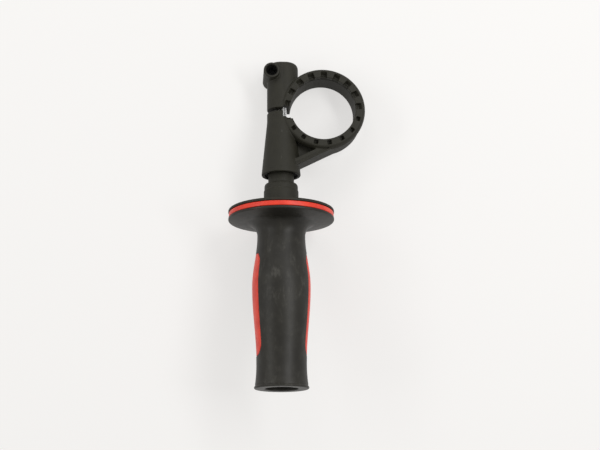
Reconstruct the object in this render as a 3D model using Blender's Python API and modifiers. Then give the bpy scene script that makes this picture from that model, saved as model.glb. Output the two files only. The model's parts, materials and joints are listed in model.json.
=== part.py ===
"""Side handle for a hammer drill, lying on a table as it comes to rest.

A split clamp ring closes round the drill's collar. A bolt held in the block above the split
runs down through the stem, and the grip's nut draws the two halves together when the grip is
turned. The grip is moulded in three layers: a black core with hub and neck, a red shell and a
soft black sleeve with a window on each side.

The pieces are built in the handle's own frame. Its Z axis is the bolt's axis and points from the
grip to the clamp, X points to the ring, -Y is the near face of the ring, and Z = 0 is the middle
of the flange. The empty named handle_at_rest lays the whole handle down. All sizes are in metres.
"""

import math

import bmesh
import bpy
import numpy as np
from mathutils import Matrix, Vector

# Clearances
MOULD_GAP = 0.0003
BOLT_CLEARANCE = 0.0003
NECK_CLEARANCE = 0.0003
NUT_CLEARANCE = 0.0003

# Bolt, nut and washer, all for an 8 mm thread
BOLT_RADIUS = 0.004
BOLT_TIP_CHAMFER = 0.0008
HEX_FLATS = 0.013
BOLT_HEAD_HEIGHT = 0.0053
NUT_HEIGHT = 0.0065
HEX_CORNER_CHAMFER = 0.0006
THREAD_BELOW_NUT = 0.0105
WASHER_RADIUS = 0.008
WASHER_THICKNESS = 0.0016

# Flange
FLANGE_RADIUS = 0.0355
COLLAR_LIP = 0.0018
RED_BAND = 0.0032
RED_BAND_RECESS = 0.0003
GRIP_LIP = 0.0015
FLANGE_EDGE_ROUND = 0.0004
FLANGE_CONE_DROP = 0.0020
GRIP_FILLET_WIDTH = 0.0083
GRIP_FILLET_LENGTH = 0.0087

# Grip outside, as distances from the flange's grip-side rim
GRIP_LENGTH = 0.1125
GRIP_ROOT_RADIUS = 0.0160
BULGE_RADIUS = 0.0195
BULGE_AT = 0.0447
WAIST_RADIUS = 0.0165
WAIST_AT = 0.097
END_FLARE_RADIUS = 0.0175
END_BEAD_RADIUS = 0.0180
END_BEAD_HEIGHT = 0.0018
END_WALL = 0.0027
END_MOUTH_RADIUS = 0.0110

# Grip layers
CORE_RADIUS = 0.0123
CORE_WALL = 0.0013
NUT_TUNNEL_LENGTH = 0.009
TUNNEL_FLARE = 0.006
SHELL_THICKNESS = 0.0014
WINDOW_FROM = 0.0232
WINDOW_LENGTH = 0.068
WINDOW_WIDTH = 0.0192
WINDOW_CORNER = 0.0075
WINDOW_SINK = 0.0001
WINDOW_TURN = math.radians(5.3)

# Hub and neck of the core
HUB_RADIUS = 0.0121
HUB_STEP_RADIUS = 0.0108
HUB_HEIGHT = 0.0182
HUB_STEP_AT = 0.0134
HUB_CHAMFER = 0.0014
HUB_FILLET = 0.0008
NECK_RADIUS = 0.0087
NECK_LENGTH = 0.023
NECK_CHAMFER = 0.0007
NUT_ROOF = 0.006

# Lower stem of the clamp
SKIRT_ABOVE_HUB = 0.0068
SKIRT_RADIUS = 0.0133
SKIRT_ROUND = 0.0007
SKIRT_MOUTH_RADIUS = 0.0112
SKIRT_MOUTH_DEPTH = 0.0038
STEM_RADIUS = 0.0095
CONE_TOP_BELOW_RING = 0.0077

# Clamp ring
RING_ABOVE_SHOULDER = 0.0265
WALL_AT_BOLT = 0.0015
BORE_RADIUS = 0.0226
TOOTH_RISE = 0.0005
TOOTH_BAND = 0.0035
RING_WALL = 0.0050
RING_WIDTH = 0.0205
RING_EDGE_CHAMFER = 0.0005
LIP_RISE = 0.0012
LIP_SLOPE_HEIGHT = 0.0032
LIP_SLOPE_WIDTH = 0.0021
LIP_HEIGHT = 0.0050
TOOTH_PLACES = 17
TOOTH_PHASE = math.radians(3.8)
POCKET_WIDTH = 0.0035
POCKET_DEPTH = 0.0027
POCKET_REACH = 0.0036
POCKET_SLOPE = math.radians(17)

# Split between the two halves
SPLIT_OUTER_GAP = 0.0023
SPLIT_BORE_GAP = 0.0070
SPLIT_ABOVE_RING = 0.0005
SPLIT_BORE_DROP = 0.0014
SPLIT_WIDENS_AT = 0.0020
SPLIT_WIDENS_OVER = 0.0016

# Strut and web between the ring and the lower stem
STRUT_SLOPE = math.radians(26.6)
STRUT_BAND = 0.0046
STRUT_WIDTH = 0.0165
STRUT_ROUND = 0.0008
WEB_THICKNESS = 0.0030

# Block above the split, with the tube for the depth rod
BLOCK_ABOVE_RING = 0.0346
BLOCK_TOP_ROUND = 0.0040
BOSS_OFFSET = 0.0023
BOSS_ABOVE_RING = 0.012
BOSS_RUN_OUT = 0.008
ROD_TUBE_RADIUS = 0.0055
ROD_TUBE_LENGTH = 0.0255
ROD_TUBE_OFFSET = 0.0067
ROD_TUBE_BELOW_TOP = 0.0085
ROD_TUBE_CHAMFER = 0.0006
ROD_HOLE_RADIUS = 0.0040
ROD_RIB_HEIGHT = 0.00025
ROD_RIBS = 14
HEAD_ROOF = 0.0029

# Number of steps round the turned pieces
FINE_STEPS = 56
STEM_STEPS = 48
SMALL_STEPS = 32
RING_STEPS = 72
ARC_STEPS = 4
BARREL_STATIONS = 13
WINDOW_STATIONS = 6

# Heights along the bolt's axis, worked out from the sizes above
FLANGE_THICKNESS = COLLAR_LIP + 2 * MOULD_GAP + RED_BAND + GRIP_LIP
COLLAR_FACE = FLANGE_THICKNESS / 2
RED_TOP = COLLAR_FACE - COLLAR_LIP - MOULD_GAP
RED_BOTTOM = RED_TOP - RED_BAND
GRIP_FACE = -FLANGE_THICKNESS / 2
GRIP_END = GRIP_FACE - GRIP_LENGTH
HUB_TOP = COLLAR_FACE + HUB_HEIGHT
NECK_TOP = HUB_TOP + NECK_LENGTH
WASHER_BOTTOM = NECK_TOP + MOULD_GAP
SHOULDER = WASHER_BOTTOM + WASHER_THICKNESS + MOULD_GAP
SKIRT_BOTTOM = HUB_TOP + SKIRT_ABOVE_HUB
RING_HEIGHT = SHOULDER + RING_ABOVE_SHOULDER
BLOCK_TOP = RING_HEIGHT + BLOCK_ABOVE_RING
ROD_HEIGHT = BLOCK_TOP - ROD_TUBE_BELOW_TOP
BOLT_HEAD_TOP = ROD_HEIGHT - ROD_HOLE_RADIUS - HEAD_ROOF
BOLT_HEAD_BOTTOM = BOLT_HEAD_TOP - BOLT_HEAD_HEIGHT
NUT_TOP = HUB_TOP - NUT_ROOF
NUT_BOTTOM = NUT_TOP - NUT_HEIGHT
BOLT_TIP = NUT_BOTTOM - THREAD_BELOW_NUT

# Radii and places that follow
BOLT_HOLE_RADIUS = BOLT_RADIUS + BOLT_CLEARANCE
SOCKET_RADIUS = NECK_RADIUS + NECK_CLEARANCE
HEX_CORNER_RADIUS = HEX_FLATS / math.sqrt(3)
NUT_TUNNEL_RADIUS = HEX_CORNER_RADIUS + 2 * NUT_CLEARANCE
SHELL_INNER = CORE_RADIUS + MOULD_GAP
SHELL_RADIUS = SHELL_INNER + SHELL_THICKNESS
SLEEVE_INNER = SHELL_RADIUS + MOULD_GAP
CORE_END = GRIP_END + END_WALL + MOULD_GAP
RING_OFFSET = BOLT_HOLE_RADIUS + WALL_AT_BOLT + BORE_RADIUS
RING_RADIUS = BORE_RADIUS + RING_WALL
LIP_RADIUS = RING_RADIUS + LIP_RISE
TOOTH_RADIUS = BORE_RADIUS - TOOTH_RISE

# Finishes: colour, roughness, metallic
BLACK_NYLON = ("black_nylon", (0.040, 0.040, 0.037), 0.55, 0.0)
SOFT_BLACK = ("soft_black", (0.046, 0.044, 0.042), 0.72, 0.0)
RED_SHELL = ("red_moulding", (0.72, 0.065, 0.045), 0.48, 0.0)
ZINC_STEEL = ("zinc_steel", (0.66, 0.67, 0.68), 0.30, 1.0)


def clear_scene():
    """Remove every object that the scene starts with."""
    for item in list(bpy.data.objects):
        bpy.data.objects.remove(item, do_unlink=True)


def make_collection(name):
    """Return a new collection linked to the scene."""
    group = bpy.data.collections.new(name)
    bpy.context.scene.collection.children.link(group)
    return group


def make_material(finish):
    """Return a Principled material for a finish."""
    name, colour, roughness, metallic = finish
    material = bpy.data.materials.new(name)
    material.use_nodes = True
    shader = material.node_tree.nodes["Principled BSDF"]
    shader.inputs["Base Color"].default_value = (*colour, 1.0)
    shader.inputs["Roughness"].default_value = roughness
    shader.inputs["Metallic"].default_value = metallic
    return material


class Workshop:
    """Holds the collections and the empty that every piece is parented to."""

    def __init__(self):
        self.parts = make_collection("power_tool_side_handle")
        self.cutters = make_collection("forms_and_cutters")
        self.frame = bpy.data.objects.new("handle_at_rest", None)
        self.parts.objects.link(self.frame)

    def place(self, name, mesh, finish=None, turn=None, at=(0.0, 0.0, 0.0)):
        """Make an object: a part if it has a finish, otherwise a form or cutter."""
        item = bpy.data.objects.new(name, mesh)
        item.parent = self.frame
        item.location = at
        if turn is not None:
            item.rotation_euler = turn
        if finish is None:
            self.cutters.objects.link(item)
            item.hide_render = True
            item.display_type = "WIRE"
        else:
            self.parts.objects.link(item)
            mesh.materials.append(make_material(finish))
        return item


# Turns an object's Z axis to the near side, its Y axis to the clamp end
FACING_NEAR = (math.pi / 2, 0.0, 0.0)


def turned(shop, name, profile, steps, closed=True, **place):
    """Turn a profile of (radius, height) points round the object's Z axis."""
    mesh = bpy.data.meshes.new(name)
    count = len(profile)
    edges = [(i, i + 1) for i in range(count - 1)]
    if closed:
        edges.append((count - 1, 0))
    mesh.from_pydata([(radius, 0.0, height) for radius, height in profile], edges, [])
    item = shop.place(name, mesh, **place)
    screw = item.modifiers.new("turn", "SCREW")
    screw.axis = "Z"
    screw.angle = math.tau
    screw.steps = steps
    screw.render_steps = steps
    screw.use_merge_vertices = True
    screw.merge_threshold = 0.00001
    screw.use_smooth_shade = True
    return item


def extruded(shop, name, outline, depth, **place):
    """Extrude a flat outline of (x, y) points to a closed plate, centred on Z = 0."""
    curve = bpy.data.curves.new(name, "CURVE")
    curve.dimensions = "2D"
    curve.fill_mode = "BOTH"
    curve.extrude = depth / 2
    spline = curve.splines.new("POLY")
    spline.points.add(len(outline) - 1)
    for point, (x, y) in zip(spline.points, outline):
        point.co = (x, y, 0.0, 1.0)
    spline.use_cyclic_u = True
    drawing = bpy.data.objects.new(name + "_outline", curve)
    shop.cutters.objects.link(drawing)
    depsgraph = bpy.context.evaluated_depsgraph_get()
    mesh = bpy.data.meshes.new_from_object(drawing.evaluated_get(depsgraph))
    bpy.data.objects.remove(drawing, do_unlink=True)
    work = bmesh.new()
    work.from_mesh(mesh)
    bmesh.ops.remove_doubles(work, verts=work.verts, dist=0.000001)
    bmesh.ops.recalc_face_normals(work, faces=work.faces)
    work.to_mesh(mesh)
    work.free()
    mesh.name = name
    return shop.place(name, mesh, **place)


def prism(shop, name, sides, radius, height, **place):
    """Return a regular prism centred on its object's origin, Z along its length."""
    mesh = bpy.data.meshes.new(name)
    work = bmesh.new()
    bmesh.ops.create_cone(
        work, cap_ends=True, segments=sides, radius1=radius, radius2=radius, depth=height
    )
    work.to_mesh(mesh)
    work.free()
    return shop.place(name, mesh, **place)


def combine(item, other, operation):
    """Add an exact Boolean of another object to an object."""
    boolean = item.modifiers.new(operation.lower() + "_" + other.name, "BOOLEAN")
    boolean.operation = operation
    boolean.solver = "EXACT"
    boolean.object = other


def soften(item, width, angle=math.radians(40)):
    """Round an object's sharp edges."""
    bevel = item.modifiers.new("round_edges", "BEVEL")
    bevel.width = width
    bevel.segments = 2
    bevel.limit_method = "ANGLE"
    bevel.angle_limit = angle


def quarter_round(centre, radius, start, steps=ARC_STEPS):
    """Return the points of a quarter circle that runs clockwise from an angle."""
    points = []
    for i in range(steps + 1):
        angle = start - i * math.pi / 2 / steps
        points.append((centre[0] + radius * math.cos(angle), centre[1] + radius * math.sin(angle)))
    return points


def smooth_step(fraction):
    """Return a value from 0 to 1 that starts and ends level."""
    return (1 - math.cos(math.pi * fraction)) / 2


def grip_radius(distance):
    """Return the grip's outer radius at a distance below the flange's grip-side rim."""
    root = FLANGE_CONE_DROP + GRIP_FILLET_LENGTH
    bead = GRIP_LENGTH - END_BEAD_HEIGHT
    if distance <= BULGE_AT:
        rise = smooth_step((distance - root) / (BULGE_AT - root))
        return GRIP_ROOT_RADIUS + (BULGE_RADIUS - GRIP_ROOT_RADIUS) * rise
    if distance <= WAIST_AT:
        fall = smooth_step((distance - BULGE_AT) / (WAIST_AT - BULGE_AT))
        return BULGE_RADIUS + (WAIST_RADIUS - BULGE_RADIUS) * fall
    flare = ((distance - WAIST_AT) / (bead - WAIST_AT)) ** 2
    return WAIST_RADIUS + (END_FLARE_RADIUS - WAIST_RADIUS) * flare


def barrel_outline(sink=0.0):
    """Return the grip's outer line from the end of the flange fillet down to the end bead."""
    root = FLANGE_CONE_DROP + GRIP_FILLET_LENGTH
    bead = GRIP_LENGTH - END_BEAD_HEIGHT
    line = []
    for i in range(BARREL_STATIONS + 1):
        distance = root + (bead - root) * i / BARREL_STATIONS
        line.append((grip_radius(distance) - sink, GRIP_FACE - distance))
    return line


def hex_blank(shop, name, height, **place):
    """Return a six-sided blank with its corners chamfered at both ends."""
    blank = prism(shop, name, 6, HEX_CORNER_RADIUS, height, **place)
    half = height / 2
    edge = HEX_CORNER_RADIUS + HEX_CORNER_CHAMFER / 4
    flat = HEX_FLATS / 2
    chamfer = turned(
        shop,
        name + "_chamfer",
        [
            (0.0, half + MOULD_GAP),
            (flat - HEX_CORNER_CHAMFER / 2, half + MOULD_GAP),
            (flat, half),
            (edge, half - HEX_CORNER_CHAMFER),
            (edge, HEX_CORNER_CHAMFER - half),
            (flat, -half),
            (flat - HEX_CORNER_CHAMFER / 2, -half - MOULD_GAP),
            (0.0, -half - MOULD_GAP),
        ],
        SMALL_STEPS,
        closed=False,
        at=tuple(blank.location),
    )
    combine(blank, chamfer, "INTERSECT")
    return blank


def make_bolt(shop):
    """Build the clamp bolt: a plain shank with a hexagonal head at its top."""
    head_middle = (BOLT_HEAD_TOP + BOLT_HEAD_BOTTOM) / 2
    head = hex_blank(shop, "bolt_head_form", BOLT_HEAD_HEIGHT, at=(0.0, 0.0, head_middle))
    bolt = turned(
        shop,
        "clamp_bolt",
        [
            (0.0, head_middle),
            (BOLT_RADIUS, head_middle),
            (BOLT_RADIUS, BOLT_TIP + BOLT_TIP_CHAMFER),
            (BOLT_RADIUS - BOLT_TIP_CHAMFER, BOLT_TIP),
            (0.0, BOLT_TIP),
        ],
        SMALL_STEPS,
        closed=False,
        finish=ZINC_STEEL,
    )
    combine(bolt, head, "UNION")
    return bolt


def make_nut(shop):
    """Build the nut held in the hub of the grip's core."""
    nut_middle = (NUT_TOP + NUT_BOTTOM) / 2
    nut = hex_blank(shop, "captive_nut", NUT_HEIGHT, finish=ZINC_STEEL, at=(0.0, 0.0, nut_middle))
    hole = prism(
        shop,
        "nut_hole_cutter",
        SMALL_STEPS,
        BOLT_HOLE_RADIUS,
        2 * NUT_HEIGHT,
        at=(0.0, 0.0, nut_middle),
    )
    combine(nut, hole, "DIFFERENCE")
    return nut


def make_washer(shop):
    """Build the flat washer that the neck's nose bears on."""
    top = WASHER_BOTTOM + WASHER_THICKNESS
    return turned(
        shop,
        "thrust_washer",
        [
            (WASHER_RADIUS, top),
            (WASHER_RADIUS, WASHER_BOTTOM),
            (BOLT_HOLE_RADIUS, WASHER_BOTTOM),
            (BOLT_HOLE_RADIUS, top),
        ],
        SMALL_STEPS,
        finish=ZINC_STEEL,
    )


def make_core(shop):
    """Build the grip's black core: neck, hub, collar-side flange plate and hollow tube."""
    plate_bottom = COLLAR_FACE - COLLAR_LIP
    tunnel_top = NUT_BOTTOM - NUT_CLEARANCE
    tunnel_bottom = tunnel_top - NUT_TUNNEL_LENGTH
    hollow_radius = CORE_RADIUS - CORE_WALL
    step = COLLAR_FACE + HUB_STEP_AT
    profile = [
        (BOLT_HOLE_RADIUS, NECK_TOP),
        (NECK_RADIUS - NECK_CHAMFER, NECK_TOP),
        (NECK_RADIUS, NECK_TOP - NECK_CHAMFER),
        (NECK_RADIUS, HUB_TOP),
        (HUB_STEP_RADIUS - HUB_CHAMFER / 2, HUB_TOP),
        (HUB_STEP_RADIUS, HUB_TOP - HUB_CHAMFER),
        (HUB_STEP_RADIUS, step + (HUB_RADIUS - HUB_STEP_RADIUS) / 2),
        (HUB_RADIUS, step),
        (HUB_RADIUS, COLLAR_FACE + HUB_FILLET),
        (HUB_RADIUS + HUB_FILLET, COLLAR_FACE),
        (FLANGE_RADIUS - FLANGE_EDGE_ROUND, COLLAR_FACE),
        (FLANGE_RADIUS, COLLAR_FACE - FLANGE_EDGE_ROUND),
        (FLANGE_RADIUS, plate_bottom),
        (CORE_RADIUS, plate_bottom),
        (CORE_RADIUS, CORE_END),
        (hollow_radius, CORE_END),
        (hollow_radius, tunnel_bottom - TUNNEL_FLARE),
        (NUT_TUNNEL_RADIUS, tunnel_bottom),
        (NUT_TUNNEL_RADIUS, tunnel_top),
        (BOLT_HOLE_RADIUS, tunnel_top),
    ]
    core = turned(shop, "grip_core", profile, FINE_STEPS, finish=BLACK_NYLON)
    pocket_top = NUT_TOP + NUT_CLEARANCE
    pocket_bottom = tunnel_top - NUT_CLEARANCE
    pocket = prism(
        shop,
        "nut_pocket_cutter",
        6,
        (HEX_FLATS + 2 * NUT_CLEARANCE) / math.sqrt(3),
        pocket_top - pocket_bottom,
        at=(0.0, 0.0, (pocket_top + pocket_bottom) / 2),
    )
    combine(core, pocket, "DIFFERENCE")
    return core


def window_outline(margin=0.0):
    """Return one window's outline: x across the grip, y along it, narrower where the grip is."""
    half = WINDOW_WIDTH / 2 + margin
    top = GRIP_FACE - WINDOW_FROM + margin
    bottom = GRIP_FACE - WINDOW_FROM - WINDOW_LENGTH - margin
    corner = WINDOW_CORNER + margin
    side = quarter_round((half - corner, top - corner), corner, math.pi / 2)
    first = top - corner
    last = bottom + corner
    for i in range(1, WINDOW_STATIONS):
        side.append((half, first + (last - first) * i / WINDOW_STATIONS))
    side += quarter_round((half - corner, last), corner, 0.0)
    right = [(x * grip_radius(GRIP_FACE - y) / BULGE_RADIUS, y) for x, y in side]
    left = [(-x, y) for x, y in reversed(right)]
    return right + left


# Turns an extruded outline so that it faces a window's side, its Y axis to the clamp end
FACING_SIDE = (math.pi / 2, 0.0, math.pi / 2 + WINDOW_TURN)


def make_shell(shop):
    """Build the red shell: the band in the flange, a tube and a pad in each window."""
    shell = turned(
        shop,
        "red_shell",
        [
            (FLANGE_RADIUS - RED_BAND_RECESS, RED_TOP),
            (FLANGE_RADIUS - RED_BAND_RECESS, RED_BOTTOM),
            (SHELL_RADIUS, RED_BOTTOM),
            (SHELL_RADIUS, CORE_END),
            (SHELL_INNER, CORE_END),
            (SHELL_INNER, RED_TOP),
        ],
        FINE_STEPS,
        finish=RED_SHELL,
    )
    outline = barrel_outline(sink=WINDOW_SINK)
    inside = (SHELL_INNER + SHELL_RADIUS) / 2
    pads = turned(
        shop,
        "window_pad_form",
        outline + [(inside, outline[-1][1]), (inside, outline[0][1])],
        FINE_STEPS,
    )
    through = 4 * BULGE_RADIUS
    window = extruded(shop, "window_pad_limit", window_outline(), through, turn=FACING_SIDE)
    combine(pads, window, "INTERSECT")
    combine(shell, pads, "UNION")
    return shell


def make_sleeve(shop):
    """Build the soft sleeve: grip-side flange face, barrel, end bead and two windows."""
    fillet_end = GRIP_FACE - FLANGE_CONE_DROP - GRIP_FILLET_LENGTH
    fillet_middle = GRIP_ROOT_RADIUS + GRIP_FILLET_WIDTH
    profile = [
        (FLANGE_RADIUS, RED_BOTTOM - MOULD_GAP),
        (FLANGE_RADIUS, GRIP_FACE + FLANGE_EDGE_ROUND),
        (FLANGE_RADIUS - FLANGE_EDGE_ROUND, GRIP_FACE),
    ]
    for i in range(ARC_STEPS + 2):
        angle = i / (ARC_STEPS + 2) * math.pi / 2
        radius = fillet_middle - GRIP_FILLET_WIDTH * math.sin(angle)
        profile.append((radius, fillet_end + GRIP_FILLET_LENGTH * math.cos(angle)))
    profile += barrel_outline()
    bead = END_BEAD_HEIGHT / 2
    bead_core = END_BEAD_RADIUS - bead
    for i in range(1, ARC_STEPS):
        angle = math.pi / 2 - i * math.pi / ARC_STEPS
        radius = bead_core + bead * math.cos(angle)
        profile.append((radius, GRIP_END + bead + bead * math.sin(angle)))
    profile += [
        (bead_core, GRIP_END),
        (END_MOUTH_RADIUS + FLANGE_EDGE_ROUND, GRIP_END),
        (END_MOUTH_RADIUS, GRIP_END + FLANGE_EDGE_ROUND),
        (END_MOUTH_RADIUS, GRIP_END + END_WALL),
        (SLEEVE_INNER, GRIP_END + END_WALL),
        (SLEEVE_INNER, RED_BOTTOM - MOULD_GAP),
    ]
    sleeve = turned(shop, "grip_sleeve", profile, FINE_STEPS, finish=SOFT_BLACK)
    opening = extruded(
        shop, "window_cutter", window_outline(MOULD_GAP), 4 * BULGE_RADIUS, turn=FACING_SIDE
    )
    combine(sleeve, opening, "DIFFERENCE")
    return sleeve


def make_stem_form(shop):
    """Return the clamp body's stem: cone and block in one turned form."""
    cone_top = RING_HEIGHT - CONE_TOP_BELOW_RING
    profile = [(0.0, BLOCK_TOP), (STEM_RADIUS - BLOCK_TOP_ROUND, BLOCK_TOP)]
    centre = (STEM_RADIUS - BLOCK_TOP_ROUND, BLOCK_TOP - BLOCK_TOP_ROUND)
    profile += quarter_round(centre, BLOCK_TOP_ROUND, math.pi / 2)[1:]
    profile += [
        (STEM_RADIUS, cone_top),
        (SKIRT_RADIUS, SKIRT_BOTTOM + SKIRT_ROUND),
        (SKIRT_RADIUS - SKIRT_ROUND, SKIRT_BOTTOM),
        (0.0, SKIRT_BOTTOM),
    ]
    return turned(shop, "clamp_body", profile, STEM_STEPS, closed=False, finish=BLACK_NYLON)


def make_boss_form(shop):
    """Return the swelling of the block towards the ring."""
    profile = [(0.0, BLOCK_TOP), (STEM_RADIUS - BLOCK_TOP_ROUND, BLOCK_TOP)]
    centre = (STEM_RADIUS - BLOCK_TOP_ROUND, BLOCK_TOP - BLOCK_TOP_ROUND)
    profile += quarter_round(centre, BLOCK_TOP_ROUND, math.pi / 2)[1:]
    start = RING_HEIGHT + BOSS_ABOVE_RING
    profile += [
        (STEM_RADIUS, start),
        (STEM_RADIUS - BOSS_OFFSET, start - BOSS_RUN_OUT),
        (0.0, start - BOSS_RUN_OUT),
    ]
    return turned(
        shop, "boss_form", profile, STEM_STEPS, closed=False, at=(BOSS_OFFSET, 0.0, 0.0)
    )


def make_ring_form(shop):
    """Return the clamp ring, its near face towards the form's Z axis."""
    near = RING_WIDTH / 2
    far = -RING_WIDTH / 2
    edge = RING_EDGE_CHAMFER
    lip_bottom = near - LIP_HEIGHT
    tooth_bottom = near - TOOTH_BAND
    profile = [
        (LIP_RADIUS - LIP_SLOPE_WIDTH, near),
        (LIP_RADIUS - LIP_SLOPE_WIDTH / 2, near - LIP_SLOPE_HEIGHT / 4),
        (LIP_RADIUS, near - LIP_SLOPE_HEIGHT),
        (LIP_RADIUS, lip_bottom),
        (RING_RADIUS, lip_bottom - LIP_RISE / 2),
        (RING_RADIUS, far + edge),
        (RING_RADIUS - edge, far),
        (BORE_RADIUS + edge, far),
        (BORE_RADIUS, far + edge),
        (BORE_RADIUS, tooth_bottom - TOOTH_RISE / 2),
        (TOOTH_RADIUS, tooth_bottom),
        (TOOTH_RADIUS, near - edge / 2),
        (TOOTH_RADIUS + edge / 2, near),
    ]
    place = (RING_OFFSET, 0.0, RING_HEIGHT)
    return turned(shop, "ring_form", profile, RING_STEPS, turn=FACING_NEAR, at=place)


def ring_point(radius, angle):
    """Return the (x, height) of a point on a circle about the ring's axis."""
    return (RING_OFFSET + radius * math.cos(angle), RING_HEIGHT + radius * math.sin(angle))


def strut_line():
    """Return the strut's outer edge as its tangent point on the ring and its start in the stem."""
    tangent = ring_point(RING_RADIUS, STRUT_SLOPE - math.pi / 2)
    start_x = STEM_RADIUS
    start = (start_x, tangent[1] - (tangent[0] - start_x) * math.tan(STRUT_SLOPE))
    return start, tangent


def strut_corner():
    """Return where the strut's inner edge meets the middle of the ring's wall."""
    tangent = strut_line()[1]
    middle = RING_RADIUS - RING_WALL / 2
    foot = RING_RADIUS - STRUT_BAND
    chord = math.sqrt(max(middle**2 - foot**2, 0.0))
    x = tangent[0] - STRUT_BAND * math.sin(STRUT_SLOPE) - chord * math.cos(STRUT_SLOPE)
    height = tangent[1] + STRUT_BAND * math.cos(STRUT_SLOPE) - chord * math.sin(STRUT_SLOPE)
    return x, height


def make_strut_form(shop):
    """Return the full-width strut from the skirt to the ring."""
    start, tangent = strut_line()
    outline = [
        start,
        tangent,
        ring_point(RING_RADIUS - RING_WALL / 2, STRUT_SLOPE - math.pi / 2),
        strut_corner(),
        (start[0], start[1] + STRUT_BAND / math.cos(STRUT_SLOPE)),
    ]
    strut = extruded(shop, "strut_form", outline, STRUT_WIDTH, turn=FACING_NEAR)
    soften(strut, STRUT_ROUND)
    return strut


def make_web_form(shop):
    """Return the thin web that fills the corner between the ring, the stem and the strut."""
    start = strut_line()[0]
    corner = strut_corner()
    half_band = STRUT_BAND / 2
    middle = RING_RADIUS - RING_WALL / 2
    first = math.atan2(corner[1] - RING_HEIGHT, corner[0] - RING_OFFSET)
    last = -math.pi + math.asin((SPLIT_BORE_DROP + SPLIT_BORE_GAP) / middle)
    lift = half_band / math.cos(STRUT_SLOPE)
    outline = [
        (0.0, start[1] - start[0] * math.tan(STRUT_SLOPE) + lift),
        (corner[0] + half_band * math.sin(STRUT_SLOPE), corner[1] - half_band),
    ]
    steps = 3 * ARC_STEPS
    for i in range(steps + 1):
        outline.append(ring_point(middle, first + (last - first) * i / steps))
    outline.append((0.0, outline[-1][1]))
    return extruded(shop, "web_form", outline, WEB_THICKNESS, turn=FACING_NEAR)


def make_rod_tube_form(shop):
    """Return the tube for the depth rod, across the top of the block."""
    half = ROD_TUBE_LENGTH / 2
    inner = ROD_TUBE_RADIUS - ROD_TUBE_CHAMFER
    profile = [
        (0.0, half),
        (inner, half),
        (ROD_TUBE_RADIUS, half - ROD_TUBE_CHAMFER),
        (ROD_TUBE_RADIUS, ROD_TUBE_CHAMFER - half),
        (inner, -half),
        (0.0, -half),
    ]
    place = (-ROD_TUBE_OFFSET, 0.0, ROD_HEIGHT)
    return turned(
        shop, "rod_tube_form", profile, SMALL_STEPS, closed=False, turn=FACING_NEAR, at=place
    )


def make_rod_hole_cutter(shop):
    """Return the cutter for the depth rod's hole, ribbed along its length."""
    outline = []
    for i in range(2 * ROD_RIBS):
        angle = (i + 0.5) * math.pi / ROD_RIBS
        for share in (-0.3, 0.3):
            radius = ROD_HOLE_RADIUS - ROD_RIB_HEIGHT * (i % 2)
            turn = angle + share * math.pi / ROD_RIBS
            outline.append((radius * math.cos(turn), radius * math.sin(turn)))
    place = (-ROD_TUBE_OFFSET, 0.0, ROD_HEIGHT)
    return extruded(
        shop, "rod_hole_cutter", outline, 2 * ROD_TUBE_LENGTH, turn=FACING_NEAR, at=place
    )


def make_socket_cutter(shop):
    """Return the cutter for the neck's socket and the bolt's hole through both halves."""
    head_room = BOLT_HEAD_BOTTOM - MOULD_GAP + BOLT_HEAD_HEIGHT / 2
    profile = [
        (0.0, head_room),
        (BOLT_HOLE_RADIUS, head_room),
        (BOLT_HOLE_RADIUS, SHOULDER),
        (SOCKET_RADIUS, SHOULDER),
        (SOCKET_RADIUS, SKIRT_BOTTOM + SKIRT_MOUTH_DEPTH),
        (SKIRT_MOUTH_RADIUS, SKIRT_BOTTOM + SKIRT_MOUTH_DEPTH / 2),
        (SKIRT_MOUTH_RADIUS, SKIRT_BOTTOM - SKIRT_MOUTH_DEPTH),
        (0.0, SKIRT_BOTTOM - SKIRT_MOUTH_DEPTH),
    ]
    return turned(shop, "socket_cutter", profile, STEM_STEPS, closed=False)


def make_head_cutter(shop):
    """Return the cutter for the hexagonal seat that the bolt's head is moulded into."""
    height = BOLT_HEAD_HEIGHT + 2 * MOULD_GAP
    radius = (HEX_FLATS + 2 * MOULD_GAP) / math.sqrt(3)
    middle = (BOLT_HEAD_TOP + BOLT_HEAD_BOTTOM) / 2
    return prism(shop, "head_seat_cutter", 6, radius, height, at=(0.0, 0.0, middle))


def make_bore_cutter(shop):
    """Return the cutter that clears the stem out of the ring and a quarter of its wall."""
    place = (RING_OFFSET, 0.0, RING_HEIGHT)
    length = 2 * (RING_WIDTH + STEM_RADIUS)
    radius = BORE_RADIUS + RING_WALL / 4
    return prism(
        shop, "bore_cutter", RING_STEPS, radius, length, turn=FACING_NEAR, at=place
    )


def make_split_cutter(shop):
    """Return the cutter for the split: narrow across the stem, wide between bolt and bore."""
    level = RING_HEIGHT + SPLIT_ABOVE_RING
    wide_from = SPLIT_WIDENS_AT + SPLIT_WIDENS_OVER
    bore_edge = BOLT_HOLE_RADIUS + WALL_AT_BOLT
    reach = bore_edge + 2 * TOOTH_RISE + WALL_AT_BOLT / 2
    outside = -2 * STEM_RADIUS
    bore_level = level - SPLIT_BORE_DROP
    outline = [
        (outside, level + SPLIT_OUTER_GAP / 2),
        (SPLIT_WIDENS_AT, level + SPLIT_OUTER_GAP / 2),
        (wide_from, bore_level + SPLIT_BORE_GAP / 2),
        (reach, bore_level + SPLIT_BORE_GAP / 2),
        (reach, bore_level - SPLIT_BORE_GAP / 2),
        (wide_from, bore_level - SPLIT_BORE_GAP / 2),
        (SPLIT_WIDENS_AT, level - SPLIT_OUTER_GAP / 2),
        (outside, level - SPLIT_OUTER_GAP / 2),
    ]
    return extruded(shop, "split_cutter", outline, 4 * STEM_RADIUS, turn=FACING_NEAR)


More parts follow.
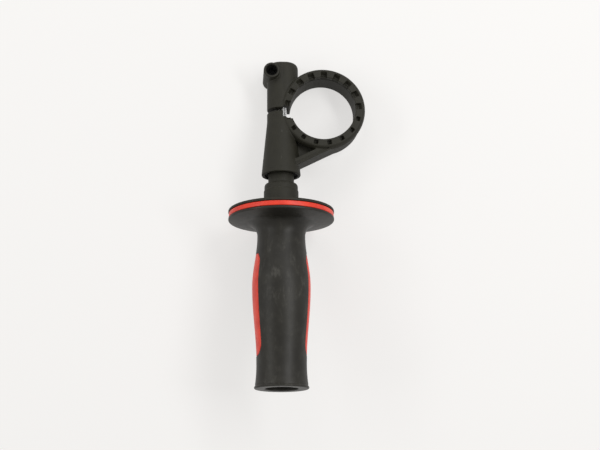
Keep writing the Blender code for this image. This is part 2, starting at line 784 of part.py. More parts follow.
def make_pocket_cutter(shop):
    """Return the cutter for the pockets between the ring's teeth, their floors deeper outwards."""
    inner = TOOTH_RADIUS - TOOTH_RISE
    outer = BORE_RADIUS + POCKET_REACH
    size = Matrix.Diagonal((outer - inner, POCKET_WIDTH, 2 * POCKET_DEPTH, 1.0))
    outward = Matrix.Translation(((inner + outer) / 2, 0.0, RING_WIDTH / 2))
    slope = Matrix.Rotation(POCKET_SLOPE, 4, "Y")
    mesh = bpy.data.meshes.new("pocket_cutter")
    work = bmesh.new()
    for i in range(TOOTH_PLACES):
        angle = TOOTH_PHASE + i * math.tau / TOOTH_PLACES
        matrix = Matrix.Rotation(angle, 4, "Z") @ outward @ slope @ size
        bmesh.ops.create_cube(work, size=1.0, matrix=matrix)
    work.to_mesh(mesh)
    work.free()
    place = (RING_OFFSET, 0.0, RING_HEIGHT)
    return shop.place("pocket_cutter", mesh, turn=FACING_NEAR, at=place)


def make_clamp(shop):
    """Build the clamp body: lower stem, split ring, strut, web, block and rod tube in one piece."""
    clamp = make_stem_form(shop)
    combine(clamp, make_boss_form(shop), "UNION")
    combine(clamp, make_rod_tube_form(shop), "UNION")
    combine(clamp, make_web_form(shop), "UNION")
    combine(clamp, make_strut_form(shop), "UNION")
    combine(clamp, make_bore_cutter(shop), "DIFFERENCE")
    combine(clamp, make_ring_form(shop), "UNION")
    combine(clamp, make_socket_cutter(shop), "DIFFERENCE")
    combine(clamp, make_head_cutter(shop), "DIFFERENCE")
    combine(clamp, make_split_cutter(shop), "DIFFERENCE")
    combine(clamp, make_rod_hole_cutter(shop), "DIFFERENCE")
    combine(clamp, make_pocket_cutter(shop), "DIFFERENCE")
    return clamp


def lowest_on_circle(centre, axis, radius, down):
    """Return the point of a circle that lies furthest along the direction down."""
    across = down - down.dot(axis) * axis
    return centre + radius * across.normalized()


def resting_rotation():
    """Return the rotation that lays the handle on the flange, the rod tube and the ring."""
    along = Vector((0.0, 0.0, 1.0))
    far = Vector((0.0, 1.0, 0.0))
    flange = Vector((0.0, 0.0, COLLAR_FACE - FLANGE_EDGE_ROUND))
    tube = Vector((-ROD_TUBE_OFFSET, ROD_TUBE_LENGTH / 2, ROD_HEIGHT))
    ring = Vector((RING_OFFSET, RING_WIDTH / 2, RING_HEIGHT))
    down = far.copy()
    for _ in range(60):
        on_flange = lowest_on_circle(flange, along, FLANGE_RADIUS, down)
        on_tube = lowest_on_circle(tube, far, ROD_TUBE_RADIUS - ROD_TUBE_CHAMFER, down)
        on_ring = lowest_on_circle(ring, far, RING_RADIUS - RING_EDGE_CHAMFER, down)
        normal = (on_tube - on_flange).cross(on_ring - on_flange).normalized()
        if normal.dot(far) < 0:
            normal.negate()
        down = (down + normal).normalized()
    up = -down
    forward = (along - along.dot(up) * up).normalized()
    right = forward.cross(up)
    return Matrix((right, forward, up))


def world_corners(group):
    """Return the lowest and highest world coordinates of the finished pieces."""
    depsgraph = bpy.context.evaluated_depsgraph_get()
    clouds = []
    for item in group.objects:
        if item.type != "MESH":
            continue
        evaluated = item.evaluated_get(depsgraph)
        mesh = evaluated.to_mesh()
        flat = np.empty(3 * len(mesh.vertices))
        mesh.vertices.foreach_get("co", flat)
        evaluated.to_mesh_clear()
        matrix = np.array(item.matrix_world)
        clouds.append(flat.reshape(-1, 3) @ matrix[:3, :3].T + matrix[:3, 3])
    points = np.concatenate(clouds)
    return points.min(axis=0), points.max(axis=0)


def lay_down(shop):
    """Lay the handle on the ground plane, centred over the world's origin."""
    shop.frame.rotation_mode = "QUATERNION"
    shop.frame.rotation_quaternion = resting_rotation().to_quaternion()
    bpy.context.view_layer.update()
    low, high = world_corners(shop.parts)
    shop.frame.location = (-(low[0] + high[0]) / 2, -(low[1] + high[1]) / 2, -low[2])
    bpy.context.view_layer.update()


def main():
    """Build the side handle and lay it down."""
    clear_scene()
    shop = Workshop()
    make_clamp(shop)
    make_bolt(shop)
    make_washer(shop)
    make_nut(shop)
    make_core(shop)
    make_shell(shop)
    make_sleeve(shop)
    lay_down(shop)


main()
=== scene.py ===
"""Finished look of a drill's side handle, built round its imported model.

The handle lies on a pale table and is seen from straight above. Every piece is modelled in the
handle's own frame and then laid where the model lies: Z runs along the bolt to the clamp, X points
to the ring, -Y is the near face of the ring and the origin is the middle of the flange. Sizes are
in metres.
"""

import json
import logging
import math
from collections.abc import Callable
from dataclasses import dataclass
from enum import Enum

import bmesh
import bpy
import numpy as np
from mathutils import Matrix, Vector


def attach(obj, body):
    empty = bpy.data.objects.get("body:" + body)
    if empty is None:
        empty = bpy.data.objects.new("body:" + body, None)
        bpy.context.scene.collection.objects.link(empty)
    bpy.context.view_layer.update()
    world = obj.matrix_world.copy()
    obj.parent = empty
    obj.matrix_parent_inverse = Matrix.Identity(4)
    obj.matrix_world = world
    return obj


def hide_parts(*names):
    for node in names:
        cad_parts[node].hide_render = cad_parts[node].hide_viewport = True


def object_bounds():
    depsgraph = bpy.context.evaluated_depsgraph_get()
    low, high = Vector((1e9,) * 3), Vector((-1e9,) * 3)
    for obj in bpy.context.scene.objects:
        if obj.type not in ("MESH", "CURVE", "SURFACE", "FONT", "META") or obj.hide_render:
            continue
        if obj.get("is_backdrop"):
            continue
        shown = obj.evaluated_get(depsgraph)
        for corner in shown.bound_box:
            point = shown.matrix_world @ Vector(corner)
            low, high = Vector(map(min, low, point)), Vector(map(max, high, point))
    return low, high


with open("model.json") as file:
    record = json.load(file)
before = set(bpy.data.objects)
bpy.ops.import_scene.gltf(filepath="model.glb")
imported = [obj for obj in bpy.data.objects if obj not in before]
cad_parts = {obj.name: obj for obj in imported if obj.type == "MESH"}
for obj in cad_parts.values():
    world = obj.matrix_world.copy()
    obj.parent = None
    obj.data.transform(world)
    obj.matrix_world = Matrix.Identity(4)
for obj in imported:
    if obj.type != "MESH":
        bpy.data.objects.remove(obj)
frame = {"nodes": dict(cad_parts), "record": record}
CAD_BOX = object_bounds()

LOG = logging.getLogger("side_handle")

Item = bpy.types.Object
Work = bmesh.types.BMesh
Point = tuple[float, float]
Span = tuple[float, float]
Place = tuple[float, float, float]
Corner = tuple[float, float, float]
Colour = tuple[float, float, float]
Row = list[Vector]
Radius = Callable[[float], float]

# Turns a form's Z axis to the near face of the ring and its Y axis to the clamp end
FACING_NEAR = Matrix.Rotation(math.pi / 2, 4, "X")
UPRIGHT = Matrix.Identity(4)
EVEN = (1.0, 1.0, 1.0)
ACROSS_HOLE = (1.0, 0.0, 1.0)
WELD = 0.000001
# The most of an edge that the round of one corner takes up
LONGEST_ROUND = 0.49
HEXAGON = 6
SMOOTH = {"interpolation_type": "SMOOTHSTEP"}
HIDDEN_STEEL = ("captive_nut", "thrust_washer")


class Join(Enum):
    """The ways in which one form is put together with another."""

    ADD = "UNION"
    CUT = "DIFFERENCE"


class Body(Enum):
    """The moving bodies of the handle that a piece can ride on."""

    CLAMP = "clamp"
    GRIP = "grip"


class Slot(Enum):
    """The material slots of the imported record."""

    NYLON = "black_nylon"
    CORE = "core_nylon"
    SOFT = "soft_black"
    RED = "red_moulding"
    ZINC = "zinc_steel"


@dataclass(frozen=True)
class Lie:
    """Where the handle lies: its origin and the directions of its bolt and its near face."""

    origin: Vector
    along: Vector
    near: Vector

    @classmethod
    def from_record(cls, record: dict) -> "Lie":
        """Read the lie from the grip's joint and the ring's near face.

        Args:
            record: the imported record.

        Returns:
            The lie of the handle at rest.
        """
        joints = {joint["name"]: joint for joint in record["behaviour"]["joints"]}
        mounts = {mount["name"]: mount for mount in record["mounts"]}
        turn = joints["grip_turn"]
        along = -Vector(turn["axis"]).normalized()
        near = Vector(mounts["ring_near_face"]["axis"]).normalized()
        return cls(Vector(turn["pos_m"]), along, near)

    def matrix(self) -> Matrix:
        """Work out the matrix from the handle's frame to the scene.

        Returns:
            The matrix.
        """
        side = self.along.cross(self.near).normalized()
        turn = Matrix((side, -self.near, self.along)).transposed().to_4x4()
        return Matrix.Translation(self.origin) @ turn


class Reading:
    """One shader socket that takes part in ordinary Python arithmetic."""

    def __init__(self, graph: "Graph", socket: bpy.types.NodeSocket) -> None:
        """Keep an output socket and the graph that new nodes are added to."""
        self.graph = graph
        self.socket = socket

    def _math(self, operation: str, first: "Value", second: "Value") -> "Reading":
        """Return the result of a Math node on two values."""
        return self.graph.math(operation, first, second)

    def __add__(self, other: "Value") -> "Reading":
        """Return self + other."""
        return self._math("ADD", self, other)

    def __radd__(self, other: "Value") -> "Reading":
        """Return other + self."""
        return self._math("ADD", other, self)

    def __sub__(self, other: "Value") -> "Reading":
        """Return self - other."""
        return self._math("SUBTRACT", self, other)

    def __rsub__(self, other: "Value") -> "Reading":
        """Return other - self."""
        return self._math("SUBTRACT", other, self)

    def __mul__(self, other: "Value") -> "Reading":
        """Return self * other."""
        return self._math("MULTIPLY", self, other)

    def __rmul__(self, other: "Value") -> "Reading":
        """Return other * self."""
        return self._math("MULTIPLY", other, self)

    def between(self, span: Span) -> "Reading":
        """Return 0 below a span, 1 above it and a smooth step in between."""
        inputs = {"Value": self, "From Min": span[0], "From Max": span[1]}
        return self.graph.read("ShaderNodeMapRange", "Result", SMOOTH, inputs)


Value = Reading | float


@dataclass(frozen=True)
class Pattern:
    """A noise: its features to a metre, its finer layers and the strength of these."""

    scale: float
    detail: float = 2.0
    roughness: float = 0.5


class Graph:
    """The shader nodes of one material or of the world."""

    def __init__(self, tree: bpy.types.NodeTree) -> None:
        """Start with an empty tree."""
        self.tree = tree
        self.tree.nodes.clear()

    def add(
        self, kind: str, settings: dict | None = None, inputs: dict | None = None
    ) -> bpy.types.Node:
        """Add a node, apply its settings and then fill its sockets.

        Args:
            kind: the node's type.
            settings: the node's own properties.
            inputs: values or readings, by the socket's name or number.

        Returns:
            The new node.
        """
        node = self.tree.nodes.new(kind)
        for name, value in (settings or {}).items():
            setattr(node, name, value)
        for name, value in (inputs or {}).items():
            socket = node.inputs[name]
            if isinstance(value, Reading):
                self.tree.links.new(value.socket, socket)
            else:
                socket.default_value = value
        return node

    def read(
        self, kind: str, output: str | int, settings: dict | None = None, inputs: dict | None = None
    ) -> Reading:
        """Add a node and return one of its outputs, by name or number."""
        return Reading(self, self.add(kind, settings, inputs).outputs[output])

    def math(self, operation: str, first: Value, second: Value) -> Reading:
        """Return a Math node's result on two values."""
        return self.read("ShaderNodeMath", 0, {"operation": operation}, {0: first, 1: second})

    def vector(self, operation: str, output: str, first: Reading, second: Place) -> Reading:
        """Return an output of a Vector Math node on two vectors."""
        settings = {"operation": operation}
        return self.read("ShaderNodeVectorMath", output, settings, {0: first, 1: second})

    def mix_colours(self, share: Value, first: Colour | Reading, second: Colour) -> Reading:
        """Return a mix of two colours, with a share of the second."""
        first, second = (c if isinstance(c, Reading) else (*c, 1.0) for c in (first, second))
        return self.read("ShaderNodeMix", 2, {"data_type": "RGBA"}, {0: share, 6: first, 7: second})

    def noise(self, place: Reading, pattern: Pattern) -> Reading:
        """Return a pattern's noise between 0 and 1, read at a place."""
        inputs = {"Vector": place, "Scale": pattern.scale, "Detail": pattern.detail}
        return self.read("ShaderNodeTexNoise", 0, None, inputs | {"Roughness": pattern.roughness})

    def bump(self, height: Reading, distance: float, strength: float) -> Reading:
        """Return a normal that follows a height, one unit of which is as high as the distance."""
        inputs = {"Height": height, "Distance": distance, "Strength": strength}
        return self.read("ShaderNodeBump", 0, None, inputs)


@dataclass(frozen=True)
class Finish:
    """A material whose pattern is fixed to the handle's own frame."""

    lie: Matrix
    slot: Slot

    def material(self) -> bpy.types.Material:
        """Make the finish's material.

        Returns:
            The new material.
        """
        material = bpy.data.materials.new(self.slot.value + "_finish")
        material.use_nodes = True
        graph = Graph(material.node_tree)
        shader = graph.add("ShaderNodeBsdfPrincipled", None, self.sockets(graph, self.place(graph)))
        surface = Reading(graph, shader.outputs[0])
        graph.add("ShaderNodeOutputMaterial", None, {"Surface": surface})
        return material

    def place(self, graph: Graph, stretch: Place = EVEN) -> Reading:
        """Return the coordinates of the handle's frame.

        Args:
            graph: the graph to add to.
            stretch: how far the pattern is drawn out along each axis.

        Returns:
            The coordinates.
        """
        coordinates = graph.read("ShaderNodeTexCoord", "Object")
        inputs = {
            "Vector": coordinates,
            "Location": tuple(self.lie.to_translation()),
            "Rotation": tuple(self.lie.to_euler()),
            "Scale": stretch,
        }
        return graph.read("ShaderNodeMapping", 0, {"vector_type": "TEXTURE"}, inputs)

    def sockets(self, graph: Graph, place: Reading) -> dict:
        """Return the values and readings of the shader's sockets, by name."""
        raise NotImplementedError


@dataclass(frozen=True)
class FilledNylon(Finish):
    """Black nylon with short glass fibres, moulded against a finely eroded tool."""

    deep: Colour = (0.0120, 0.0113, 0.0070)
    dry: Colour = (0.0200, 0.0190, 0.0125)
    rubbed: Colour = (0.050, 0.049, 0.043)
    # Colour of the painted shade on the wall of the rod hole
    rod_hole_shade_colour: Colour = (0.0060, 0.0055, 0.0040)
    hole_at: Place = (-0.0067, 0.0, 0.09955)
    hole_wall: Span = (0.0040, 0.0044)
    clouds: Pattern = Pattern(120.0, 4.0, 0.55)
    fibres: Pattern = Pattern(3400.0, 2.0, 0.6)
    grain: Pattern = Pattern(4200.0, 2.0, 0.6)
    patches: Pattern = Pattern(900.0, 3.0)
    along_fibres: Place = (1.0, 1.0, 7.0)
    dry_clouds: Span = (0.35, 0.75)
    dry_fibres: Span = (0.45, 0.80)
    cloud_share: float = 0.6
    edges: Span = (0.53, 0.60)
    worn_patches: Span = (0.35, 0.65)
    wear: float = 0.55
    worn_gloss: float = 0.10
    grain_share: float = 0.7
    relief: float = 0.000035
    relief_strength: float = 0.55
    roughness: float = 0.54
    roughness_spread: float = 0.14
    # Extra roughness on the wall of the rod hole, where the shade is painted
    rod_hole_roughness: float = 0.25
    ior: float = 1.33

    def sockets(self, graph: Graph, place: Reading) -> dict:
        """Return the sockets of the nylon.

        Args:
            graph: the graph to add to.
            place: the coordinates of the handle's frame.

        Returns:
            The sockets, by name.
        """
        clouds = graph.noise(place, self.clouds)
        fibres = graph.noise(self.place(graph, self.along_fibres), self.fibres)
        grain = graph.noise(place, self.grain)
        dryness = clouds.between(self.dry_clouds) * self.cloud_share
        dryness += fibres.between(self.dry_fibres) * (1 - self.cloud_share)
        edges = graph.read("ShaderNodeNewGeometry", "Pointiness").between(self.edges)
        wear = edges * graph.noise(place, self.patches).between(self.worn_patches) * self.wear
        # Painted shade: the wall of the rod hole is darkened to a near-black colour, and its roughness
        # is raised
        across = graph.vector("MULTIPLY", "Vector", place, ACROSS_HOLE)
        painted_hole_shade = 1.0 - graph.vector("DISTANCE", "Value", across, self.hole_at).between(self.hole_wall)
        colour = graph.mix_colours(dryness, self.deep, self.dry)
        colour = graph.mix_colours(wear, colour, self.rubbed)
        roughness = self.roughness + self.roughness_spread * clouds
        relief = grain * self.grain_share + clouds * (1 - self.grain_share)
        return {
            # The painted shade inside the rod hole is mixed in here
            "Base Color": graph.mix_colours(painted_hole_shade, colour, self.rod_hole_shade_colour),
            "Roughness": roughness - self.worn_gloss * wear + self.rod_hole_roughness * painted_hole_shade,
            "IOR": self.ior,
            "Normal": graph.bump(relief, self.relief, self.relief_strength),
        }


@dataclass(frozen=True)
class SoftRubber(Finish):
    """Soft black overmould with a matt, slightly dusty skin."""

    deep: Colour = (0.0085, 0.0077, 0.0056)
    dry: Colour = (0.0175, 0.0164, 0.0125)
    dusty: Colour = (0.115, 0.112, 0.100)
    clouds: Pattern = Pattern(75.0, 4.0, 0.6)
    handling: Pattern = Pattern(320.0, 5.0, 0.62)
    grain: Pattern = Pattern(3000.0, 3.0, 0.65)
    specks: Pattern = Pattern(1500.0, 1.0, 0.4)
    along_grip: Place = (1.0, 1.0, 2.5)
    dry_clouds: Span = (0.3, 0.7)
    speck_sizes: Span = (0.70, 0.78)
    rubbed_at: Place = (-0.002, -0.0190, -0.046)
    rubbed_reach: Span = (0.006, 0.030)
    rubbed_share: float = 0.7
    scuff_marks: Span = (0.48, 0.80)
    scuffed_clouds: Span = (0.40, 0.62)
    scuffed_share: float = 0.5
    scuffs: float = 0.45
    dusty_clouds: Span = (0.45, 0.60)
    dust: float = 0.25
    grain_share: float = 0.8
    relief: float = 0.00005
    relief_strength: float = 0.5
    roughness: float = 0.36
    roughness_spread: float = 0.20
    ior: float = 1.33

    def sockets(self, graph: Graph, place: Reading) -> dict:
        """Return the sockets of the soft skin.

        Args:
            graph: the graph to add to.
            place: the coordinates of the handle's frame.

        Returns:
            The sockets, by name.
        """
        clouds = graph.noise(place, self.clouds)
        handling = graph.noise(self.place(graph, self.along_grip), self.handling)
        grain = graph.noise(place, self.grain)
        specks = graph.noise(place, self.specks).between(self.speck_sizes)
        away = graph.vector("DISTANCE", "Value", place, self.rubbed_at)
        rubbed = (1.0 - away.between(self.rubbed_reach)) * self.rubbed_share
        scuffed = clouds.between(self.scuffed_clouds) * self.scuffed_share + rubbed
        scuffs = handling.between(self.scuff_marks) * scuffed
        dust = scuffs * self.scuffs + specks * clouds.between(self.dusty_clouds) * self.dust
        colour = graph.mix_colours(clouds.between(self.dry_clouds), self.deep, self.dry)
        relief = grain * self.grain_share + handling * (1 - self.grain_share)
        return {
            "Base Color": graph.mix_colours(dust, colour, self.dusty),
            "Roughness": self.roughness + self.roughness_spread * handling,
            "IOR": self.ior,
            "Normal": graph.bump(relief, self.relief, self.relief_strength),
        }


@dataclass(frozen=True)
class RedMoulding(Finish):
    """Red nylon with a satin skin."""

    bright: Colour = (0.74, 0.044, 0.018)
    deep: Colour = (0.60, 0.030, 0.014)
    clouds: Pattern = Pattern(140.0, 4.0, 0.55)
    grain: Pattern = Pattern(3600.0, 2.0, 0.6)
    deep_clouds: Span = (0.35, 0.70)
    relief: float = 0.00003
    relief_strength: float = 0.4
    roughness: float = 0.34
    roughness_spread: float = 0.16
    ior: float = 1.42

    def sockets(self, graph: Graph, place: Reading) -> dict:
        """Return the sockets of the red moulding.

        Args:
            graph: the graph to add to.
            place: the coordinates of the handle's frame.

        Returns:
            The sockets, by name.
        """
        clouds = graph.noise(place, self.clouds)
        grain = graph.noise(place, self.grain)
        return {
            "Base Color": graph.mix_colours(clouds.between(self.deep_clouds), self.bright, self.deep),
            "Roughness": self.roughness + self.roughness_spread * clouds,
            "IOR": self.ior,
            "Normal": graph.bump(grain, self.relief, self.relief_strength),
        }


@dataclass(frozen=True)
class ZincSteel(Finish):
    """Steel with a bright zinc plating, dulled in places, with painted shade on its side away from the
    bore.
    """

    bright: Colour = (0.78, 0.79, 0.80)
    dull: Colour = (0.50, 0.50, 0.49)
    # Colour of the painted shade on the bolt's side away from the bore, and how far and how strongly it
    # reaches
    bolt_shade_colour: Colour = (0.110, 0.106, 0.094)
    spangle: Pattern = Pattern(700.0, 4.0, 0.6)
    grain: Pattern = Pattern(5200.0, 2.0, 0.5)
    dull_spangle: Span = (0.4, 0.7)
    bolt_shade_edge: Span = (0.0012, 0.0019)
    bolt_shade_edge_waver: float = 0.0006
    painted_bolt_shade: float = 0.9
    relief: float = 0.00001
    relief_strength: float = 0.5
    roughness: float = 0.20
    roughness_spread: float = 0.22

    def sockets(self, graph: Graph, place: Reading) -> dict:
        """Return the sockets of the plating.

        Args:
            graph: the graph to add to.
            place: the coordinates of the handle's frame.

        Returns:
            The sockets, by name.
        """
        spangle = graph.noise(place, self.spangle)
        grain = graph.noise(place, self.grain)
        across = graph.read("ShaderNodeSeparateXYZ", "X", None, {"Vector": place})
        # Painted shade: the bolt is darkened on its side away from the bore, where it lies in the
        # narrow split
        painted_bolt_shade = 1.0 - (across + spangle * self.bolt_shade_edge_waver).between(self.bolt_shade_edge)
        plating = graph.mix_colours(spangle.between(self.dull_spangle), self.bright, self.dull)
        return {
            "Base Color": graph.mix_colours(painted_bolt_shade * self.painted_bolt_shade, plating, self.bolt_shade_colour),
            "Metallic": 1.0,
            "Roughness": self.roughness + self.roughness_spread * spangle,
            "Normal": graph.bump(grain, self.relief, self.relief_strength),
        }


def mix_rows(first: Row, second: Row, share: float) -> Row:
    """Return the row at a share of the way from one row to another of as many points."""
    return [a.lerp(b, share) for a, b in zip(first, second)]


def rounded(corners: list[Corner], closed: bool = True, steps: int = 4) -> list[Point]:
    """Round the corners of a profile.

    Args:
        corners: the radius, height and rounding of each corner.
        closed: whether the last corner joins the first.
        steps: the number of steps in each round.

    Returns:
        The rounded profile.
    """
    count = len(corners)
    points = [Vector(corner[:2]) for corner in corners]
    profile: list[Point] = []
    for i, corner in enumerate(corners):
        point, reach = points[i], corner[2]
        if reach == 0.0 or (not closed and i in (0, count - 1)):
            profile.append(tuple(point))
            continue
        before = points[i - 1] - point
        after = points[(i + 1) % count] - point
        reach = min(reach, LONGEST_ROUND * before.length, LONGEST_ROUND * after.length)
        start = point + before.normalized() * reach
        end = point + after.normalized() * reach
        for j in range(steps + 1):
            share = j / steps
            profile.append(tuple(start.lerp(point, share).lerp(point.lerp(end, share), share)))
    return profile


class Bench:
    """Builds, joins and lays down the meshes of the handle."""

    def __init__(self, lie: Matrix) -> None:
        """Keep the matrix that lays the handle down."""
        self.lie = lie

    def form(self, name: str, build: Callable[[Work], None], place: Matrix = UPRIGHT) -> Item:
        """Make an object whose mesh is filled by a function.

        Args:
            name: the object's name.
            build: adds the faces to a mesh under work.
            place: moves the form within the handle's frame.

        Returns:
            The new object.
        """
        work = bmesh.new()
        build(work)
        bmesh.ops.remove_doubles(work, verts=work.verts, dist=WELD)
        bmesh.ops.dissolve_degenerate(work, edges=work.edges, dist=WELD)
        bmesh.ops.recalc_face_normals(work, faces=work.faces)
        mesh = bpy.data.meshes.new(name)
        work.to_mesh(mesh)
        work.free()
        mesh.transform(place)
        item = bpy.data.objects.new(name, mesh)
        bpy.context.scene.collection.objects.link(item)
        return item

    @staticmethod
    def skin(work: Work, rows: list[Row], around: bool = True) -> None:
        """Join rows of points with faces.

        Args:
            work: the mesh under work.
            rows: rows of as many points.
            around: whether each row closes on itself.
        """
        grid = [[work.verts.new(point) for point in row] for row in rows]
        count = len(rows[0])
        for lower, upper in zip(grid, grid[1:]):
            for j in range(count if around else count - 1):
                k = (j + 1) % count
                work.faces.new((lower[j], lower[k], upper[k], upper[j]))

    def turned(
        self, name: str, profile: list[Point], steps: int, closed: bool = True, place: Matrix = UPRIGHT
    ) -> Item:
        """Turn a profile of (radius, height) points round the Z axis.

        Args:
            name: the object's name.
            profile: the points of the profile.
            steps: the number of steps round the axis.
            closed: whether the last point joins the first.
            place: moves the form within the handle's frame.

        Returns:
            The new object.
        """
        line = profile + profile[:1] if closed else profile
        angles = [math.tau * i / steps for i in range(steps)]
        rows = [[Vector((r * math.cos(a), r * math.sin(a), z)) for a in angles] for r, z in line]
        return self.form(name, lambda work: self.skin(work, rows), place)

    def plate(self, name: str, outline: list[Point], depth: float, place: Matrix = UPRIGHT) -> Item:
        """Make a plate from a flat outline.

        Args:
            name: the object's name.
            outline: the points of the outline.
            depth: the thickness, half of it to each side.
            place: moves the form within the handle's frame.

        Returns:
            The new object.
        """

        def build(work: Work) -> None:
            """Add the two faces and the wall between them.

            Args:
                work: the mesh under work.
            """
            rows = [[Vector((x, y, z)) for x, y in outline] for z in (-depth / 2, depth / 2)]
            self.skin(work, rows)
            work.verts.ensure_lookup_table()
            count = len(outline)
            for verts in (set(work.verts[:count]), set(work.verts[count:])):
                edges = [edge for edge in work.edges if verts.issuperset(edge.verts)]
                bmesh.ops.triangle_fill(work, edges=edges)

        return self.form(name, build, place)

    def prism(
        self, name: str, sides: int, radius: float, height: float, place: Matrix = UPRIGHT
    ) -> Item:
        """Make a regular prism centred on its place.

        Args:
            name: the object's name.
            sides: the number of sides.
            radius: the radius of its corners.
            height: its height.
            place: moves the form within the handle's frame.

        Returns:
            The new object.
        """

        def build(work: Work) -> None:
            """Add the prism."""
            measures = {"segments": sides, "radius1": radius, "radius2": radius, "depth": height}
            bmesh.ops.create_cone(work, cap_ends=True, **measures)

        return self.form(name, build, place)

    @staticmethod
    def modify(item: Item, kind: str, **settings: object) -> None:
        """Add a modifier.

        Args:
            item: the object that gets it.
            kind: the modifier's type.
            settings: the modifier's properties.
        """
        modifier = item.modifiers.new(kind.lower(), kind)
        for name, value in settings.items():
            setattr(modifier, name, value)

    def join(self, item: Item, how: Join, others: list[Item]) -> None:
        """Put an object together with others, which are used up.

        Args:
            item: the object that changes.
            how: the way they are joined.
            others: the objects that are joined to it.
        """
        for other in others:
            self.modify(item, "BOOLEAN", operation=how.value, solver="EXACT", object=other)
        self.settle(item)
        for other in others:
            bpy.data.objects.remove(other, do_unlink=True)

    @staticmethod
    def settle(item: Item) -> None:
        """Turn an object's modifiers into plain faces.

        Args:
            item: the object that changes.
        """
        depsgraph = bpy.context.evaluated_depsgraph_get()
        mesh = bpy.data.meshes.new_from_object(item.evaluated_get(depsgraph))
        item.modifiers.clear()
        item.data = mesh

    def finish(
        self, item: Item, body: Body, finish: Finish, nodes: tuple[str, ...], sharp: float = 35.0
    ) -> Item:
        """Lay a piece down, dress it and fix it to its body.

        Args:
            item: the piece, in the handle's own frame.
            body: the body that it rides on.
            finish: the finish of its skin.
            nodes: the model's nodes that it stands for.
            sharp: the angle in degrees above which an edge stays sharp.

        Returns:
            The piece.
        """
        item.data.transform(self.lie)
        item.data.shade_smooth()
        item.data.set_sharp_from_angle(angle=math.radians(sharp))
        item.data.materials.clear()
        item.data.materials.append(finish.material())
        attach(item, body.value)
        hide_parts(*nodes)
        LOG.info("%s: %d faces", item.name, len(item.data.polygons))
        return item


